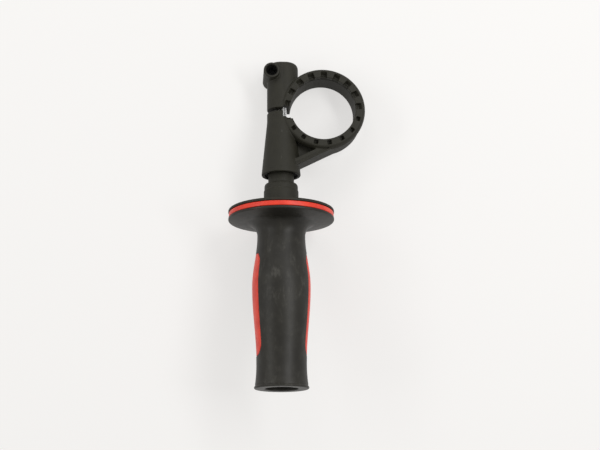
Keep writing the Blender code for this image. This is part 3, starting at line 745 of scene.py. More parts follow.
@dataclass(frozen=True)
class GripSizes:
    """Sizes that the three layers of the grip share."""

    flange_radius: float = 0.03548
    flange_thickness: float = 0.0071
    collar_lip: float = 0.0018
    red_band: float = 0.0032
    red_recess: float = 0.0003
    gap: float = 0.0003
    length: float = 0.11247
    cone_drop: float = 0.0020
    fillet_width: float = 0.0083
    fillet_length: float = 0.0087
    root_radius: float = 0.0160
    bulge_radius: float = 0.0195
    bulge_at: float = 0.0447
    waist_radius: float = 0.0165
    waist_at: float = 0.097
    flare_radius: float = 0.0175
    bead_radius: float = 0.01797
    bead_height: float = 0.0018
    end_wall: float = 0.0027
    mouth_radius: float = 0.0110
    core_radius: float = 0.0123
    core_wall: float = 0.0013
    shell_thickness: float = 0.0014
    window_from: float = 0.0232
    window_length: float = 0.068
    window_width: float = 0.0192
    window_corner: float = 0.0075
    window_turn: float = math.radians(5.3)
    steps_across: int = 72
    steps_along: int = 92
    corner_steps: int = 16

    @property
    def collar_face(self) -> float:
        """Height of the flange's face towards the clamp."""
        return self.flange_thickness / 2

    @property
    def grip_face(self) -> float:
        """Height of the flange's rim towards the grip."""
        return -self.flange_thickness / 2

    @property
    def red_top(self) -> float:
        """Height of the red band's upper edge."""
        return self.collar_face - self.collar_lip - self.gap

    @property
    def red_bottom(self) -> float:
        """Height of the red band's lower edge."""
        return self.red_top - self.red_band

    @property
    def end(self) -> float:
        """Height of the grip's free end."""
        return self.grip_face - self.length

    @property
    def core_end(self) -> float:
        """Height of the free end of the core and of the red shell."""
        return self.end + self.end_wall + self.gap

    @property
    def shell_inner(self) -> float:
        """Inner radius of the red shell."""
        return self.core_radius + self.gap

    @property
    def shell_radius(self) -> float:
        """Outer radius of the red shell."""
        return self.shell_inner + self.shell_thickness

    @property
    def sleeve_inner(self) -> float:
        """Inner radius of the soft sleeve."""
        return self.shell_radius + self.gap

    @property
    def root(self) -> float:
        """Distance from the rim to the end of the flange's fillet."""
        return self.cone_drop + self.fillet_length

    @property
    def steps_round(self) -> int:
        """Number of steps round the whole grip."""
        return 2 * self.steps_across

    @property
    def side_steps(self) -> tuple[int, ...]:
        """Numbers of steps along the top, one side, the bottom and the other side of a window."""
        return (self.steps_across, self.steps_along) * 2

    def radius(self, height: float) -> float:
        """Return the barrel's outer radius.

        Args:
            height: the height in the handle's frame.

        Returns:
            The radius there.
        """
        distance = self.grip_face - height
        bead = self.length - self.bead_height
        if distance <= self.bulge_at:
            share = (distance - self.root) / (self.bulge_at - self.root)
            rise = (1 - math.cos(math.pi * share)) / 2
            return self.root_radius + (self.bulge_radius - self.root_radius) * rise
        if distance <= self.waist_at:
            share = (distance - self.bulge_at) / (self.waist_at - self.bulge_at)
            fall = (1 - math.cos(math.pi * share)) / 2
            return self.bulge_radius + (self.waist_radius - self.bulge_radius) * fall
        flare = ((distance - self.waist_at) / (bead - self.waist_at)) ** 2
        return self.waist_radius + (self.flare_radius - self.waist_radius) * flare

    @property
    def turned_windows(self) -> Matrix:
        """Turn of the two windows about the grip's axis."""
        return Matrix.Rotation(self.window_turn, 4, "Z")

    def window_loop(self, margin: float) -> list[Point]:
        """Return a window's outline as (across, height) points, narrower where the grip is.

        Args:
            margin: how far the outline lies outside the window's own.

        Returns:
            The top, one side, the bottom and the other side, each with its own number of steps.
        """
        half_width = self.window_width / 2 + margin
        half_length = self.window_length / 2 + margin
        corner = self.window_corner + margin
        middle = self.grip_face - self.window_from - self.window_length / 2
        line: list[Point] = []
        points = self.corner_steps + 1
        for quarter, (sign_x, sign_y) in enumerate([(1, 1), (1, -1), (-1, -1), (-1, 1)]):
            for i in range(points):
                angle = math.pi / 2 * (1 - quarter - i / self.corner_steps)
                x = sign_x * (half_width - corner) + corner * math.cos(angle)
                y = sign_y * (half_length - corner) + corner * math.sin(angle)
                line.append((x, y))
        # The last corner is cut at its middle, where the loop starts and ends
        half = points // 2 + 1
        line = line[-half:] + line[:-half] + line[-half : 1 - half]
        loop: list[Point] = []
        for i, count in enumerate(self.side_steps):
            loop += even_steps(line[i * points : (i + 1) * points + 1], count)
        return [(x * self.radius(y + middle) / self.bulge_radius, y + middle) for x, y in loop]

    def frame_loop(self, low: float, high: float) -> list[Point]:
        """Return the border of half the barrel as (angle, height) points.

        Args:
            low: the lower height.
            high: the upper height.

        Returns:
            The points, in the order of a window's outline.
        """
        quarter = math.pi / 2
        corners = [(-quarter, high), (quarter, high), (quarter, low), (-quarter, low), (-quarter, high)]
        loop: list[Point] = []
        for start, end, count in zip(corners, corners[1:], self.side_steps):
            loop += even_steps([start, end], count)
        return loop


def even_steps(line: list[Point], count: int) -> list[Point]:
    """Return points at even steps along a line, without its last point.

    Args:
        line: the points of the line.
        count: the number of steps.

    Returns:
        The points.
    """
    points = np.array(line)
    lengths = np.concatenate([[0.0], np.cumsum(np.linalg.norm(np.diff(points, axis=0), axis=1))])
    places = np.arange(count) / count * lengths[-1]
    columns = [np.interp(places, lengths, points[:, axis]) for axis in (0, 1)]
    return [(float(x), float(y)) for x, y in zip(*columns)]


def on_barrel(side: int, radius: float, angle: float, height: float) -> Vector:
    """Return a point at an angle from the middle of side 1, the ring's, or of side -1."""
    return Vector((side * radius * math.cos(angle), radius * math.sin(angle), height))


@dataclass
class Piece:
    """A sub-assembly, with the bench that it is made on and the finish of its skin."""

    bench: Bench
    coat: Finish

    def build(self) -> Item:
        """Return the finished piece."""
        raise NotImplementedError


@dataclass
class GripCore(Piece):
    """Black core of the grip: neck, hub, the flange's face to the clamp and the inner tube."""

    sizes: GripSizes
    hub_radius: float = 0.0117
    hub_step_radius: float = 0.0113
    hub_height: float = 0.0182
    hub_step_at: float = 0.0134
    hub_chamfer: float = 0.0014
    neck_radius: float = 0.0087
    neck_length: float = 0.023
    bolt_hole_radius: float = 0.0043
    nut_flats: float = 0.013
    nut_height: float = 0.0065
    nut_roof: float = 0.006
    nut_clearance: float = 0.0003
    tunnel_length: float = 0.009
    tunnel_flare: float = 0.006
    edge_round: float = 0.0006
    nose_round: float = 0.0012
    top_round: float = 0.0009
    step_round: float = 0.0004
    foot_round: float = 0.0016
    rim_round: float = 0.0008
    lip_round: float = 0.0002
    end_round: float = 0.0003

    def build(self) -> Item:
        """Build the core.

        Returns:
            The finished piece.
        """
        sizes = self.sizes
        face = sizes.collar_face
        hub_top = face + self.hub_height
        neck_top = hub_top + self.neck_length
        nut_top = hub_top - self.nut_roof + self.nut_clearance
        tunnel_top = nut_top - self.nut_height - 2 * self.nut_clearance
        tunnel_bottom = tunnel_top - self.tunnel_length
        tunnel_radius = self.nut_flats / math.sqrt(3) + 2 * self.nut_clearance
        step = face + self.hub_step_at
        plate = face - sizes.collar_lip
        hollow = sizes.core_radius - sizes.core_wall
        corners = [
            (self.bolt_hole_radius, neck_top, self.edge_round),
            (self.neck_radius, neck_top, self.nose_round),
            (self.neck_radius, hub_top, self.edge_round),
            (self.hub_step_radius - self.hub_chamfer / 2, hub_top, self.top_round),
            (self.hub_step_radius, hub_top - self.hub_chamfer, self.nose_round),
            (self.hub_step_radius, step + self.step_round, self.step_round),
            (self.hub_radius, step - self.step_round / 2, self.step_round),
            (self.hub_radius, face, self.foot_round),
            (sizes.flange_radius, face, self.rim_round),
            (sizes.flange_radius, plate, self.lip_round),
            (sizes.core_radius, plate, 0.0),
            (sizes.core_radius, sizes.core_end, 0.0),
            (hollow, sizes.core_end, self.end_round),
            (hollow, tunnel_bottom - self.tunnel_flare, self.rim_round),
            (tunnel_radius, tunnel_bottom, self.edge_round),
            (tunnel_radius, tunnel_top, 0.0),
            (self.bolt_hole_radius, tunnel_top, 0.0),
        ]
        core = self.bench.turned("core_moulding", rounded(corners), sizes.steps_round)
        height = nut_top - tunnel_top + self.nut_clearance
        place = Matrix.Translation((0.0, 0.0, tunnel_top + height / 2 - self.nut_clearance))
        radius = (self.nut_flats + 2 * self.nut_clearance) / math.sqrt(3)
        pocket = self.bench.prism("nut_pocket", HEXAGON, radius, height, place)
        self.bench.join(core, Join.CUT, [pocket])
        return self.bench.finish(core, Body.GRIP, self.coat, ("grip_core",))


@dataclass
class RedShell(Piece):
    """Red moulding: the band in the flange, the tube and a pad in each window."""

    sizes: GripSizes
    pad_sink: float = 0.00012
    pad_edge: float = 0.0005
    pad_rows: int = 16
    edge_rows: int = 4
    inner_rows: int = 3
    band_round: float = 0.0005

    def pad(self, side: int) -> Item:
        """Shape the pad that fills one window.

        Args:
            side: 1 for the ring's side and -1 for the other.

        Returns:
            The pad.
        """
        sizes = self.sizes
        base = (sizes.shell_inner + sizes.shell_radius) / 2
        middle = sizes.grip_face - sizes.window_from - sizes.window_length / 2
        spine_half = (sizes.window_length - sizes.window_width) / 2
        low, high = middle - spine_half, middle + spine_half

        def surface(margin: float, depth: float) -> Row:
            """Return a loop at a margin from the window's outline and a depth under the barrel."""
            loop = [(x, z, sizes.radius(z)) for x, z in sizes.window_loop(margin)]
            return [on_barrel(side, r - self.pad_sink - depth, math.asin(x / r), z) for x, z, r in loop]

        def spine(radius_at: Radius) -> Row:
            """Return the pad's middle line, one point for each point of the loop."""
            heights = [max(low, min(high, z)) for _, z in sizes.window_loop(0.0)]
            return [on_barrel(side, radius_at(z), 0.0, z) for z in heights]

        def moved(row: Row, radius_at: Radius) -> Row:
            """Return a row moved to another radius."""
            return [on_barrel(side, radius_at(p.z), math.atan2(p.y, side * p.x), p.z) for p in row]

        def skin(height: float) -> float:
            """Return the radius of the pad's skin."""
            return sizes.radius(height) - self.pad_sink

        def foot(height: float) -> float:
            """Return the radius of the pad's foot, the same at every height."""
            return base

        crown, edge = spine(skin), surface(-self.pad_edge, 0.0)
        shares = [i / self.pad_rows for i in range(self.pad_rows + 1)]
        rows = [moved(mix_rows(crown, edge, share), skin) for share in shares]
        for i in range(1, self.edge_rows + 1):
            angle = i / self.edge_rows * math.pi / 2
            margin = -self.pad_edge * (1 - math.sin(angle))
            rows.append(surface(margin, self.pad_edge * (1 - math.cos(angle))))
        floor, heel = moved(surface(0.0, 0.0), foot), spine(foot)
        shares = [i / self.inner_rows for i in range(1, self.inner_rows + 1)]
        rows += [floor] + [moved(mix_rows(floor, heel, share), foot) for share in shares]
        return self.bench.form("window_pad", lambda work: Bench.skin(work, rows), sizes.turned_windows)

    def build(self) -> Item:
        """Build the red moulding.

        Returns:
            The finished piece.
        """
        sizes = self.sizes
        rim = sizes.flange_radius - sizes.red_recess
        corners = [
            (rim, sizes.red_top, self.band_round),
            (rim, sizes.red_bottom, self.band_round),
            (sizes.shell_radius, sizes.red_bottom, 0.0),
            (sizes.shell_radius, sizes.core_end, 0.0),
            (sizes.shell_inner, sizes.core_end, 0.0),
            (sizes.shell_inner, sizes.red_top, 0.0),
        ]
        shell = self.bench.turned("red_moulding", rounded(corners), sizes.steps_round)
        self.bench.join(shell, Join.ADD, [self.pad(side) for side in (1, -1)])
        return self.bench.finish(shell, Body.GRIP, self.coat, ("red_shell",))


@dataclass
class SoftSleeve(Piece):
    """Soft sleeve: the flange's grip side, the barrel with its two windows and the end bead."""

    sizes: GripSizes
    lip_round: float = 0.0005
    lip_gap: float = 0.00018
    lip_rows: int = 4
    outer_rows: int = 22
    outer_crowding: float = 1.25
    inner_rows: int = 6
    flange_edge: float = 0.0006
    groove_edge: float = 0.0003
    mouth_round: float = 0.0006
    fillet_steps: int = 14
    bead_steps: int = 12
    join_above_wall: float = 0.0003

    def half_barrel(self, work: Work, side: int, low: float, high: float) -> None:
        """Add half of the barrel with its window.

        Args:
            work: the mesh under work.
            side: 1 for the ring's side and -1 for the other.
            low: the height of the half's lower edge.
            high: the height of its upper edge.
        """
        sizes = self.sizes
        border = sizes.frame_loop(low, high)

        def surface(margin: float, radius_at: Radius, share: float) -> Row:
            """Return a row between the window's outline and the border of the half.

            Args:
                margin: how far the outline lies outside the window's own.
                radius_at: the row's radius at a height.
                share: 0 at the outline and 1 at the border.

            Returns:
                The row.
            """
            row = []
            for (across, height), (angle, edge_height) in zip(sizes.window_loop(margin), border):
                inner_angle = math.asin(across / sizes.radius(height))
                mixed = height + (edge_height - height) * share
                turn = inner_angle + (angle - inner_angle) * share
                row.append(on_barrel(side, radius_at(mixed), turn, mixed))
            return row

        def inner(height: float) -> float:
            """Return the sleeve's inner radius, the same at every height."""
            return sizes.sleeve_inner

        lip = self.lip_gap + self.lip_round
        shares = [(i / self.outer_rows) ** self.outer_crowding for i in range(self.outer_rows, 0, -1)]
        rows = [surface(lip, sizes.radius, share) for share in shares]
        for i in range(self.lip_rows + 1):
            angle = i / self.lip_rows * math.pi / 2
            margin = self.lip_gap + self.lip_round * (1 - math.sin(angle))
            depth = self.lip_round * (1 - math.cos(angle))
            rows.append(surface(margin, lambda height, depth=depth: sizes.radius(height) - depth, 0.0))
        rows += [surface(self.lip_gap, inner, i / self.inner_rows) for i in range(self.inner_rows + 1)]
        Bench.skin(work, rows)

    def flange_side(self, barrel_top: float) -> list[Point]:
        """Return the profile from the red band's groove to the top of the barrel.

        Args:
            barrel_top: the height where the barrel starts.

        Returns:
            The (radius, height) points.
        """
        sizes = self.sizes
        groove = sizes.red_bottom - sizes.gap
        fillet_middle = sizes.root_radius + sizes.fillet_width
        corners = [
            (sizes.sleeve_inner, groove, 0.0),
            (sizes.flange_radius, groove, self.groove_edge),
            (sizes.flange_radius, sizes.grip_face, self.flange_edge),
            (fillet_middle, sizes.grip_face - sizes.cone_drop, 0.0),
        ]
        profile = rounded(corners, closed=False)
        for i in range(1, self.fillet_steps + 1):
            angle = i / self.fillet_steps * math.pi / 2
            radius = fillet_middle - sizes.fillet_width * math.sin(angle)
            profile.append((radius, barrel_top + sizes.fillet_length * math.cos(angle)))
        return profile

    def free_end(self, barrel_end: float) -> list[Point]:
        """Return the profile from the end of the barrel round the bead to the mouth.

        Args:
            barrel_end: the height where the barrel ends.

        Returns:
            The (radius, height) points.
        """
        sizes = self.sizes
        bead = sizes.bead_height / 2
        bead_middle = sizes.bead_radius - bead
        wall_top = sizes.end + sizes.end_wall
        profile = [(sizes.radius(barrel_end), barrel_end)]
        for i in range(1, self.bead_steps + 1):
            angle = math.pi / 2 - i * math.pi / self.bead_steps
            radius = bead_middle + bead * math.cos(angle)
            profile.append((radius, sizes.end + bead + bead * math.sin(angle)))
        corners = [
            (bead_middle, sizes.end, 0.0),
            (sizes.mouth_radius, sizes.end, self.mouth_round),
            (sizes.mouth_radius, wall_top, self.groove_edge),
            (sizes.sleeve_inner, wall_top, 0.0),
        ]
        return profile + rounded(corners, closed=False)

    def build(self) -> Item:
        """Build the sleeve.

        Returns:
            The finished piece.
        """
        sizes = self.sizes
        low = sizes.end + sizes.end_wall + self.join_above_wall
        high = sizes.grip_face - sizes.root
        angles = [math.tau * i / sizes.steps_round - math.pi / 2 for i in range(sizes.steps_round)]
        top = [(sizes.sleeve_inner, high)] + self.flange_side(high)
        bottom = self.free_end(low) + [(sizes.sleeve_inner, low)]

        def add_turned(work: Work, profile: list[Point]) -> None:
            """Add a turned skin whose steps meet those of the barrel."""
            rows = [[Vector((r * math.cos(a), r * math.sin(a), z)) for a in angles] for r, z in profile]
            Bench.skin(work, rows)

        def build(work: Work) -> None:
            """Add the flange, the two halves of the barrel and the end.

            Args:
                work: the mesh under work.
            """
            add_turned(work, top)
            for side in (1, -1):
                self.half_barrel(work, side, low, high)
            add_turned(work, bottom)

        sleeve = self.bench.form("soft_sleeve", build, sizes.turned_windows)
        return self.bench.finish(sleeve, Body.GRIP, self.coat, ("grip_sleeve",))


@dataclass
class ClampBolt(Piece):
    """Bolt with a cut thread, its head held in the block."""

    radius: float = 0.0040
    root_radius: float = 0.00335
    pitch: float = 0.00125
    tip: float = -0.00125
    tip_chamfer: float = 0.0009
    head_bottom: float = 0.08735
    head_height: float = 0.0053
    head_flats: float = 0.013
    head_edge: float = 0.0003
    flank: Span = (0.15, 0.85)
    rows_to_a_turn: int = 8
    steps_round: int = 40
    sharp: float = 50.0

    def thread_radius(self, turn: float) -> float:
        """Return the thread's radius.

        Args:
            turn: the place across one turn of the thread, from 0 to 1.

        Returns:
            The radius there.
        """
        slope = abs(2 * (turn % 1.0) - 1)
        low, high = self.flank
        share = min(1.0, max(0.0, (slope - low) / (high - low)))
        return self.root_radius + (self.radius - self.root_radius) * share

    def build(self) -> Item:
        """Build the bolt.

        Returns:
            The finished piece.
        """
        rise = self.pitch / self.rows_to_a_turn
        count = int((self.head_bottom - self.tip) / rise)
        rows: list[Row] = [[Vector((0.0, 0.0, self.tip))] * self.steps_round]
        for i in range(count + 1):
            height = self.tip + i * rise
            limit = self.radius - max(0.0, self.tip_chamfer - (height - self.tip))
            row = []
            for j in range(self.steps_round):
                share = j / self.steps_round
                radius = min(limit, self.thread_radius(height / self.pitch - share))
                angle = math.tau * share
                row.append(Vector((radius * math.cos(angle), radius * math.sin(angle), height)))
            rows.append(row)
        end = self.head_bottom + self.head_height / 2
        rows.append([Vector((point.x, point.y, end)) for point in rows[-1]])
        rows.append([Vector((0.0, 0.0, end))] * self.steps_round)
        bolt = self.bench.form("threaded_bolt", lambda work: Bench.skin(work, rows))
        place = Matrix.Translation((0.0, 0.0, end))
        corner = self.head_flats / math.sqrt(3)
        head = self.bench.prism("bolt_head", HEXAGON, corner, self.head_height, place)
        Bench.modify(head, "BEVEL", width=self.head_edge, segments=2)
        Bench.settle(head)
        self.bench.join(bolt, Join.ADD, [head])
        return self.bench.finish(bolt, Body.CLAMP, self.coat, ("clamp_bolt",), self.sharp)


@dataclass
class ClampMoulding(Piece):
    """Clamp in one moulding: skirted stem, split ring, strut, web, block and rod tube."""

    shoulder: float = 0.04695
    skirt_bottom: float = 0.0277
    skirt_radius: float = 0.0133
    skirt_mouth_radius: float = 0.0112
    skirt_mouth_depth: float = 0.0038
    skirt_round: float = 0.0009
    stem_radius: float = 0.0095
    cone_top: float = 0.06575
    cone_round: float = 0.0015
    socket_radius: float = 0.0090
    bolt_hole_radius: float = 0.0043
    ring_height: float = 0.07345
    ring_offset: float = 0.0284
    bore_radius: float = 0.0226
    bore_draft: float = 0.0006
    tooth_rise: float = 0.0005
    tooth_band: float = 0.0035
    tooth_groove: float = 0.0011
    ring_wall: float = 0.0050
    ring_width: float = 0.0205
    ring_edge: float = 0.0005
    lip_rise: float = 0.0012
    lip_slope_height: float = 0.0032
    lip_slope_width: float = 0.0021
    lip_height: float = 0.0050
    lip_round: float = 0.0012
    lip_edge: float = 0.0010
    tooth_edge: float = 0.0003
    tooth_places: int = 17
    tooth_phase: float = math.radians(3.8)
    pocket_width: float = 0.0041
    pocket_depth: float = 0.0029
    pocket_reach: float = 0.0036
    pocket_slope: float = math.radians(26)
    lips_from: float = math.radians(205)
    lips_to: float = math.radians(352)
    lip_behind_bore: float = 0.0010
    lipped_width: float = 0.0029
    split_outer_gap: float = 0.0023
    split_bore_gap: float = 0.0080
    split_above_ring: float = -0.0006
    split_bore_drop: float = 0.0014
    split_widens_at: float = 0.0011
    strut_slope: float = math.radians(26.6)
    strut_band: float = 0.0046
    strut_width: float = 0.0165
    strut_groove: float = 0.0010
    strut_edge: float = 0.0011
    web_thickness: float = 0.0030
    web_steps: int = 24
    block_top: float = 0.10792
    block_round: float = 0.0040
    boss_offset: float = 0.0023
    boss_from: float = 0.08545
    boss_run_out: float = 0.008
    boss_round: float = 0.003
    rod_tube_radius: float = 0.0055
    rod_tube_length: float = 0.0255
    rod_tube_offset: float = 0.0067
    rod_tube_edge: float = 0.0007
    rod_height: float = 0.09955
    rod_hole_radius: float = 0.0040
    rod_rib_height: float = 0.00045
    rod_ribs: int = 14
    steps_to_a_rib: int = 12
    ring_steps: int = 168
    stem_steps: int = 96
    round_steps: int = 8
    cell: float = 0.00035
    smoothing: int = 3
    smoothing_strength: float = 0.5
    faces_kept: float = 0.52
    sharp: float = 80.0

    @property
    def ring_place(self) -> Matrix:
        """Place of the ring's axis."""
        return Matrix.Translation((self.ring_offset, 0.0, self.ring_height)) @ FACING_NEAR

    @property
    def rod_place(self) -> Matrix:
        """Place of the rod tube's axis."""
        return Matrix.Translation((-self.rod_tube_offset, 0.0, self.rod_height)) @ FACING_NEAR

    @property
    def ring_radius(self) -> float:
        """Outer radius of the ring's body."""
        return self.bore_radius + self.ring_wall

    def ring_point(self, radius: float, angle: float) -> Point:
        """Return the (across, height) of a point on a circle about the ring's axis."""
        x = self.ring_offset + radius * math.cos(angle)
        return (x, self.ring_height + radius * math.sin(angle))

    def strut_line(self) -> tuple[Point, Point]:
        """Work out the strut's outer edge.

        Returns:
            Its start on the stem and its tangent point on the ring.
        """
        tangent = self.ring_point(self.ring_radius, self.strut_slope - math.pi / 2)
        rise = (tangent[0] - self.stem_radius) * math.tan(self.strut_slope)
        return (self.stem_radius, tangent[1] - rise), tangent

    def strut_corner(self) -> Point:
        """Work out where the strut's inner edge meets the middle of the ring's wall.

        Returns:
            The (across, height) point.
        """
        tangent = self.strut_line()[1]
        middle = self.ring_radius - self.ring_wall / 2
        foot = self.ring_radius - self.strut_band
        chord = math.sqrt(middle**2 - foot**2)
        sine, cosine = math.sin(self.strut_slope), math.cos(self.strut_slope)
        x = tangent[0] - self.strut_band * sine - chord * cosine
        return (x, tangent[1] + self.strut_band * cosine - chord * sine)

    def stem(self) -> Item:
        """Shape the skirted cone and the block in one.

        Returns:
            The stem.
        """
        corners = [
            (0.0, self.block_top, 0.0),
            (self.stem_radius, self.block_top, self.block_round),
            (self.stem_radius, self.cone_top, self.cone_round),
            (self.skirt_radius, self.skirt_bottom, self.skirt_round),
            (0.0, self.skirt_bottom, 0.0),
        ]
        profile = rounded(corners, False, self.round_steps)
        return self.bench.turned("clamp_moulding", profile, self.stem_steps, False)

    def boss(self) -> Item:
        """Shape the swelling of the block towards the ring.

        Returns:
            The boss.
        """
        corners = [
            (0.0, self.block_top, 0.0),
            (self.stem_radius, self.block_top, self.block_round),
            (self.stem_radius, self.boss_from, self.boss_round),
            (self.stem_radius - self.boss_offset, self.boss_from - self.boss_run_out, 0.0),
            (0.0, self.boss_from - self.boss_run_out, 0.0),
        ]
        place = Matrix.Translation((self.boss_offset, 0.0, 0.0))
        profile = rounded(corners, False, self.round_steps)
        return self.bench.turned("boss", profile, self.stem_steps, False, place)

    def ring(self) -> Item:
        """Shape the ring with its sloping lip and the band of its teeth.

        Returns:
            The ring.
        """
        near = self.ring_width / 2
        far = -near
        tooth_radius = self.bore_radius - self.tooth_rise
        tooth_bottom = near - self.tooth_band
        lip_radius = self.ring_radius + self.lip_rise
        lip_bottom = near - self.lip_height
        corners = [
            (lip_radius - self.lip_slope_width, near, self.lip_round),
            (lip_radius - self.lip_slope_width / 2, near - self.lip_slope_height / 4, self.lip_round),
            (lip_radius, near - self.lip_slope_height, self.lip_edge),
            (lip_radius, lip_bottom, self.tooth_edge),
            (self.ring_radius, lip_bottom - self.lip_rise / 2, self.tooth_edge),
            (self.ring_radius, far, self.ring_edge),
            (self.bore_radius - self.bore_draft, far, self.ring_edge),
            (self.bore_radius, tooth_bottom - 2 * self.tooth_groove, 0.0),
            (self.bore_radius + self.tooth_rise, tooth_bottom - self.tooth_groove, 0.0),
            (self.bore_radius + self.tooth_rise, tooth_bottom, 0.0),
            (tooth_radius, tooth_bottom, 0.0),
            (tooth_radius, near, self.tooth_edge),
        ]
        return self.bench.turned("ring", rounded(corners), self.ring_steps, place=self.ring_place)

    def strut(self) -> Item:
        """Shape the strut from the stem to the ring.

        Returns:
            The strut.
        """
        start, tangent = self.strut_line()
        outline = [
            start,
            tangent,
            self.ring_point(self.ring_radius - self.ring_wall / 2, self.strut_slope - math.pi / 2),
            self.strut_corner(),
            (start[0], start[1] + self.strut_band / math.cos(self.strut_slope)),
        ]
        return self.bench.plate("strut", outline, self.strut_width, FACING_NEAR)

    def strut_line_cut(self) -> Item:
        """Shape the cutter of the line that runs beside the strut's outer edge.

        Returns:
            The cutter.
        """
        start, tangent = (Vector(point) for point in self.strut_line())
        along = (tangent - start).normalized()
        inward = Vector((-along.y, along.x))
        first = start + inward * self.strut_edge
        last = tangent + inward * self.strut_edge
        across = inward * self.strut_groove
        outline = [tuple(point) for point in (first, last, last + across, first + across)]
        place = FACING_NEAR @ Matrix.Translation((0.0, 0.0, self.strut_width / 2))
        return self.bench.plate("strut_line", outline, self.strut_groove, place)

    def web(self) -> Item:
        """Shape the thin web in the corner between the ring, the stem and the strut.

        Returns:
            The web.
        """
        start = self.strut_line()[0]
        corner = self.strut_corner()
        half_band = self.strut_band / 2
        middle = self.ring_radius - self.ring_wall / 2
        first = math.atan2(corner[1] - self.ring_height, corner[0] - self.ring_offset)
        last = -math.pi + math.asin((self.split_bore_drop + self.split_bore_gap) / middle)
        lift = half_band / math.cos(self.strut_slope)
        outline = [
            (0.0, start[1] - start[0] * math.tan(self.strut_slope) + lift),
            (corner[0] + half_band * math.sin(self.strut_slope), corner[1] - half_band),
        ]
        step = (last - first) / self.web_steps
        outline += [self.ring_point(middle, first + step * i) for i in range(self.web_steps + 1)]
        outline.append((0.0, outline[-1][1]))
        return self.bench.plate("web", outline, self.web_thickness, FACING_NEAR)

    def rod_tube(self) -> Item:
        """Shape the tube for the depth rod.

        Returns:
            The tube.
        """
        half = self.rod_tube_length / 2
        corners = [
            (0.0, half, 0.0),
            (self.rod_tube_radius, half, self.rod_tube_edge),
            (self.rod_tube_radius, -half, self.rod_tube_edge),
            (0.0, -half, 0.0),
        ]
        profile = rounded(corners, False)
        return self.bench.turned("rod_tube", profile, self.stem_steps, False, self.rod_place)

    def rod_hole(self) -> Item:
        """Shape the cutter of the ribbed hole for the depth rod.

        Returns:
            The cutter.
        """
        count = self.steps_to_a_rib * self.rod_ribs
        outline = []
        for i in range(count):
            angle = math.tau * i / count
            rib = (0.5 + 0.5 * math.cos(angle * self.rod_ribs)) ** 2
            radius = self.rod_hole_radius - self.rod_rib_height * rib
            outline.append((radius * math.cos(angle), radius * math.sin(angle)))
        return self.bench.plate("rod_hole", outline, 2 * self.rod_tube_length, self.rod_place)

    def socket(self) -> Item:
        """Shape the cutter of the neck's socket and of the bolt's hole.

        Returns:
            The cutter.
        """
        mouth = self.skirt_bottom + self.skirt_mouth_depth
        below = self.skirt_bottom - self.skirt_mouth_depth
        top = self.rod_height - self.rod_tube_radius
        profile = [
            (0.0, top),
            (self.bolt_hole_radius, top),
            (self.bolt_hole_radius, self.shoulder),
            (self.socket_radius, self.shoulder),
            (self.socket_radius, mouth),
            (self.skirt_mouth_radius, mouth - self.skirt_mouth_depth / 2),
            (self.skirt_mouth_radius, below),
            (0.0, below),
        ]
        return self.bench.turned("socket", profile, self.stem_steps, False)

    def split(self) -> Item:
        """Shape the cutter of the split, narrow across the stem and wide beside the bore.

        Returns:
            The cutter.
        """
        level = self.ring_height + self.split_above_ring
        bore_level = level - self.split_bore_drop
        bore_edge = self.ring_offset - self.bore_radius
        reach = bore_edge + 3 * self.tooth_rise
        outside = -2 * self.stem_radius
        outline = [
            (outside, level + self.split_outer_gap / 2),
            (self.split_widens_at, level + self.split_outer_gap / 2),
            (self.split_widens_at, bore_level + self.split_bore_gap / 2),
            (reach, bore_level + self.split_bore_gap / 2),
            (reach, bore_level - self.split_bore_gap / 2),
            (self.split_widens_at, bore_level - self.split_bore_gap / 2),
            (self.split_widens_at, level - self.split_outer_gap / 2),
            (outside, level - self.split_outer_gap / 2),
        ]
        return self.bench.plate("split", outline, 4 * self.stem_radius, FACING_NEAR)

    def has_lip(self, place: int) -> bool:
        """Return whether the pocket at a place is closed towards the bore."""
        angle = (self.tooth_phase + place * math.tau / self.tooth_places) % math.tau
        return self.lips_from < angle < self.lips_to

    def pockets(self) -> list[Item]:
        """Shape the cutters of the pockets, whose floors slope down outwards.

        Returns:
            The cutter of the open pockets and that of the pockets with a lip.
        """
        outer = self.bore_radius + self.pocket_reach
        slope = Matrix.Rotation(self.pocket_slope, 4, "Y")
        cutters = []
        for lipped in (False, True):
            inner = self.bore_radius + (self.lip_behind_bore if lipped else -2 * self.tooth_rise)
            width = self.lipped_width if lipped else self.pocket_width
            size = Matrix.Diagonal((outer - inner, width, 2 * self.pocket_depth, 1.0))
            outward = Matrix.Translation(((inner + outer) / 2, 0.0, self.ring_width / 2))
            cutters.append(self.ring_of_blocks("pockets", outward @ slope @ size, lipped))
        return cutters

    def tooth_gaps(self) -> Item:
        """Shape the cutter that parts the raised band into single teeth.

        Returns:
            The cutter.
        """
        low = self.bore_radius - 2 * self.tooth_rise
        high = self.bore_radius + self.tooth_rise / 4
        width = self.pocket_width - self.tooth_rise / 2
        size = Matrix.Diagonal((high - low, width, 3 * self.tooth_band, 1.0))
        outward = Matrix.Translation(((high + low) / 2, 0.0, self.ring_width / 2))
        return self.ring_of_blocks("tooth_gaps", outward @ size, False)

    def ring_of_blocks(self, name: str, block: Matrix, lipped: bool) -> Item:
        """Return blocks at the places between the teeth.

        Args:
            name: the object's name.
            block: the size and place of the block at angle 0.
            lipped: whether the blocks are for the pockets that have a lip, or for the others.

        Returns:
            The blocks, as one cutter.
        """

        def build(work: Work) -> None:
            """Add a block at each place.

            Args:
                work: the mesh under work.
            """
            for i in range(self.tooth_places):
                if self.has_lip(i) == lipped:
                    turn = Matrix.Rotation(self.tooth_phase + i * math.tau / self.tooth_places, 4, "Z")
                    bmesh.ops.create_cube(work, size=1.0, matrix=turn @ block)

        return self.bench.form(name, build, self.ring_place)

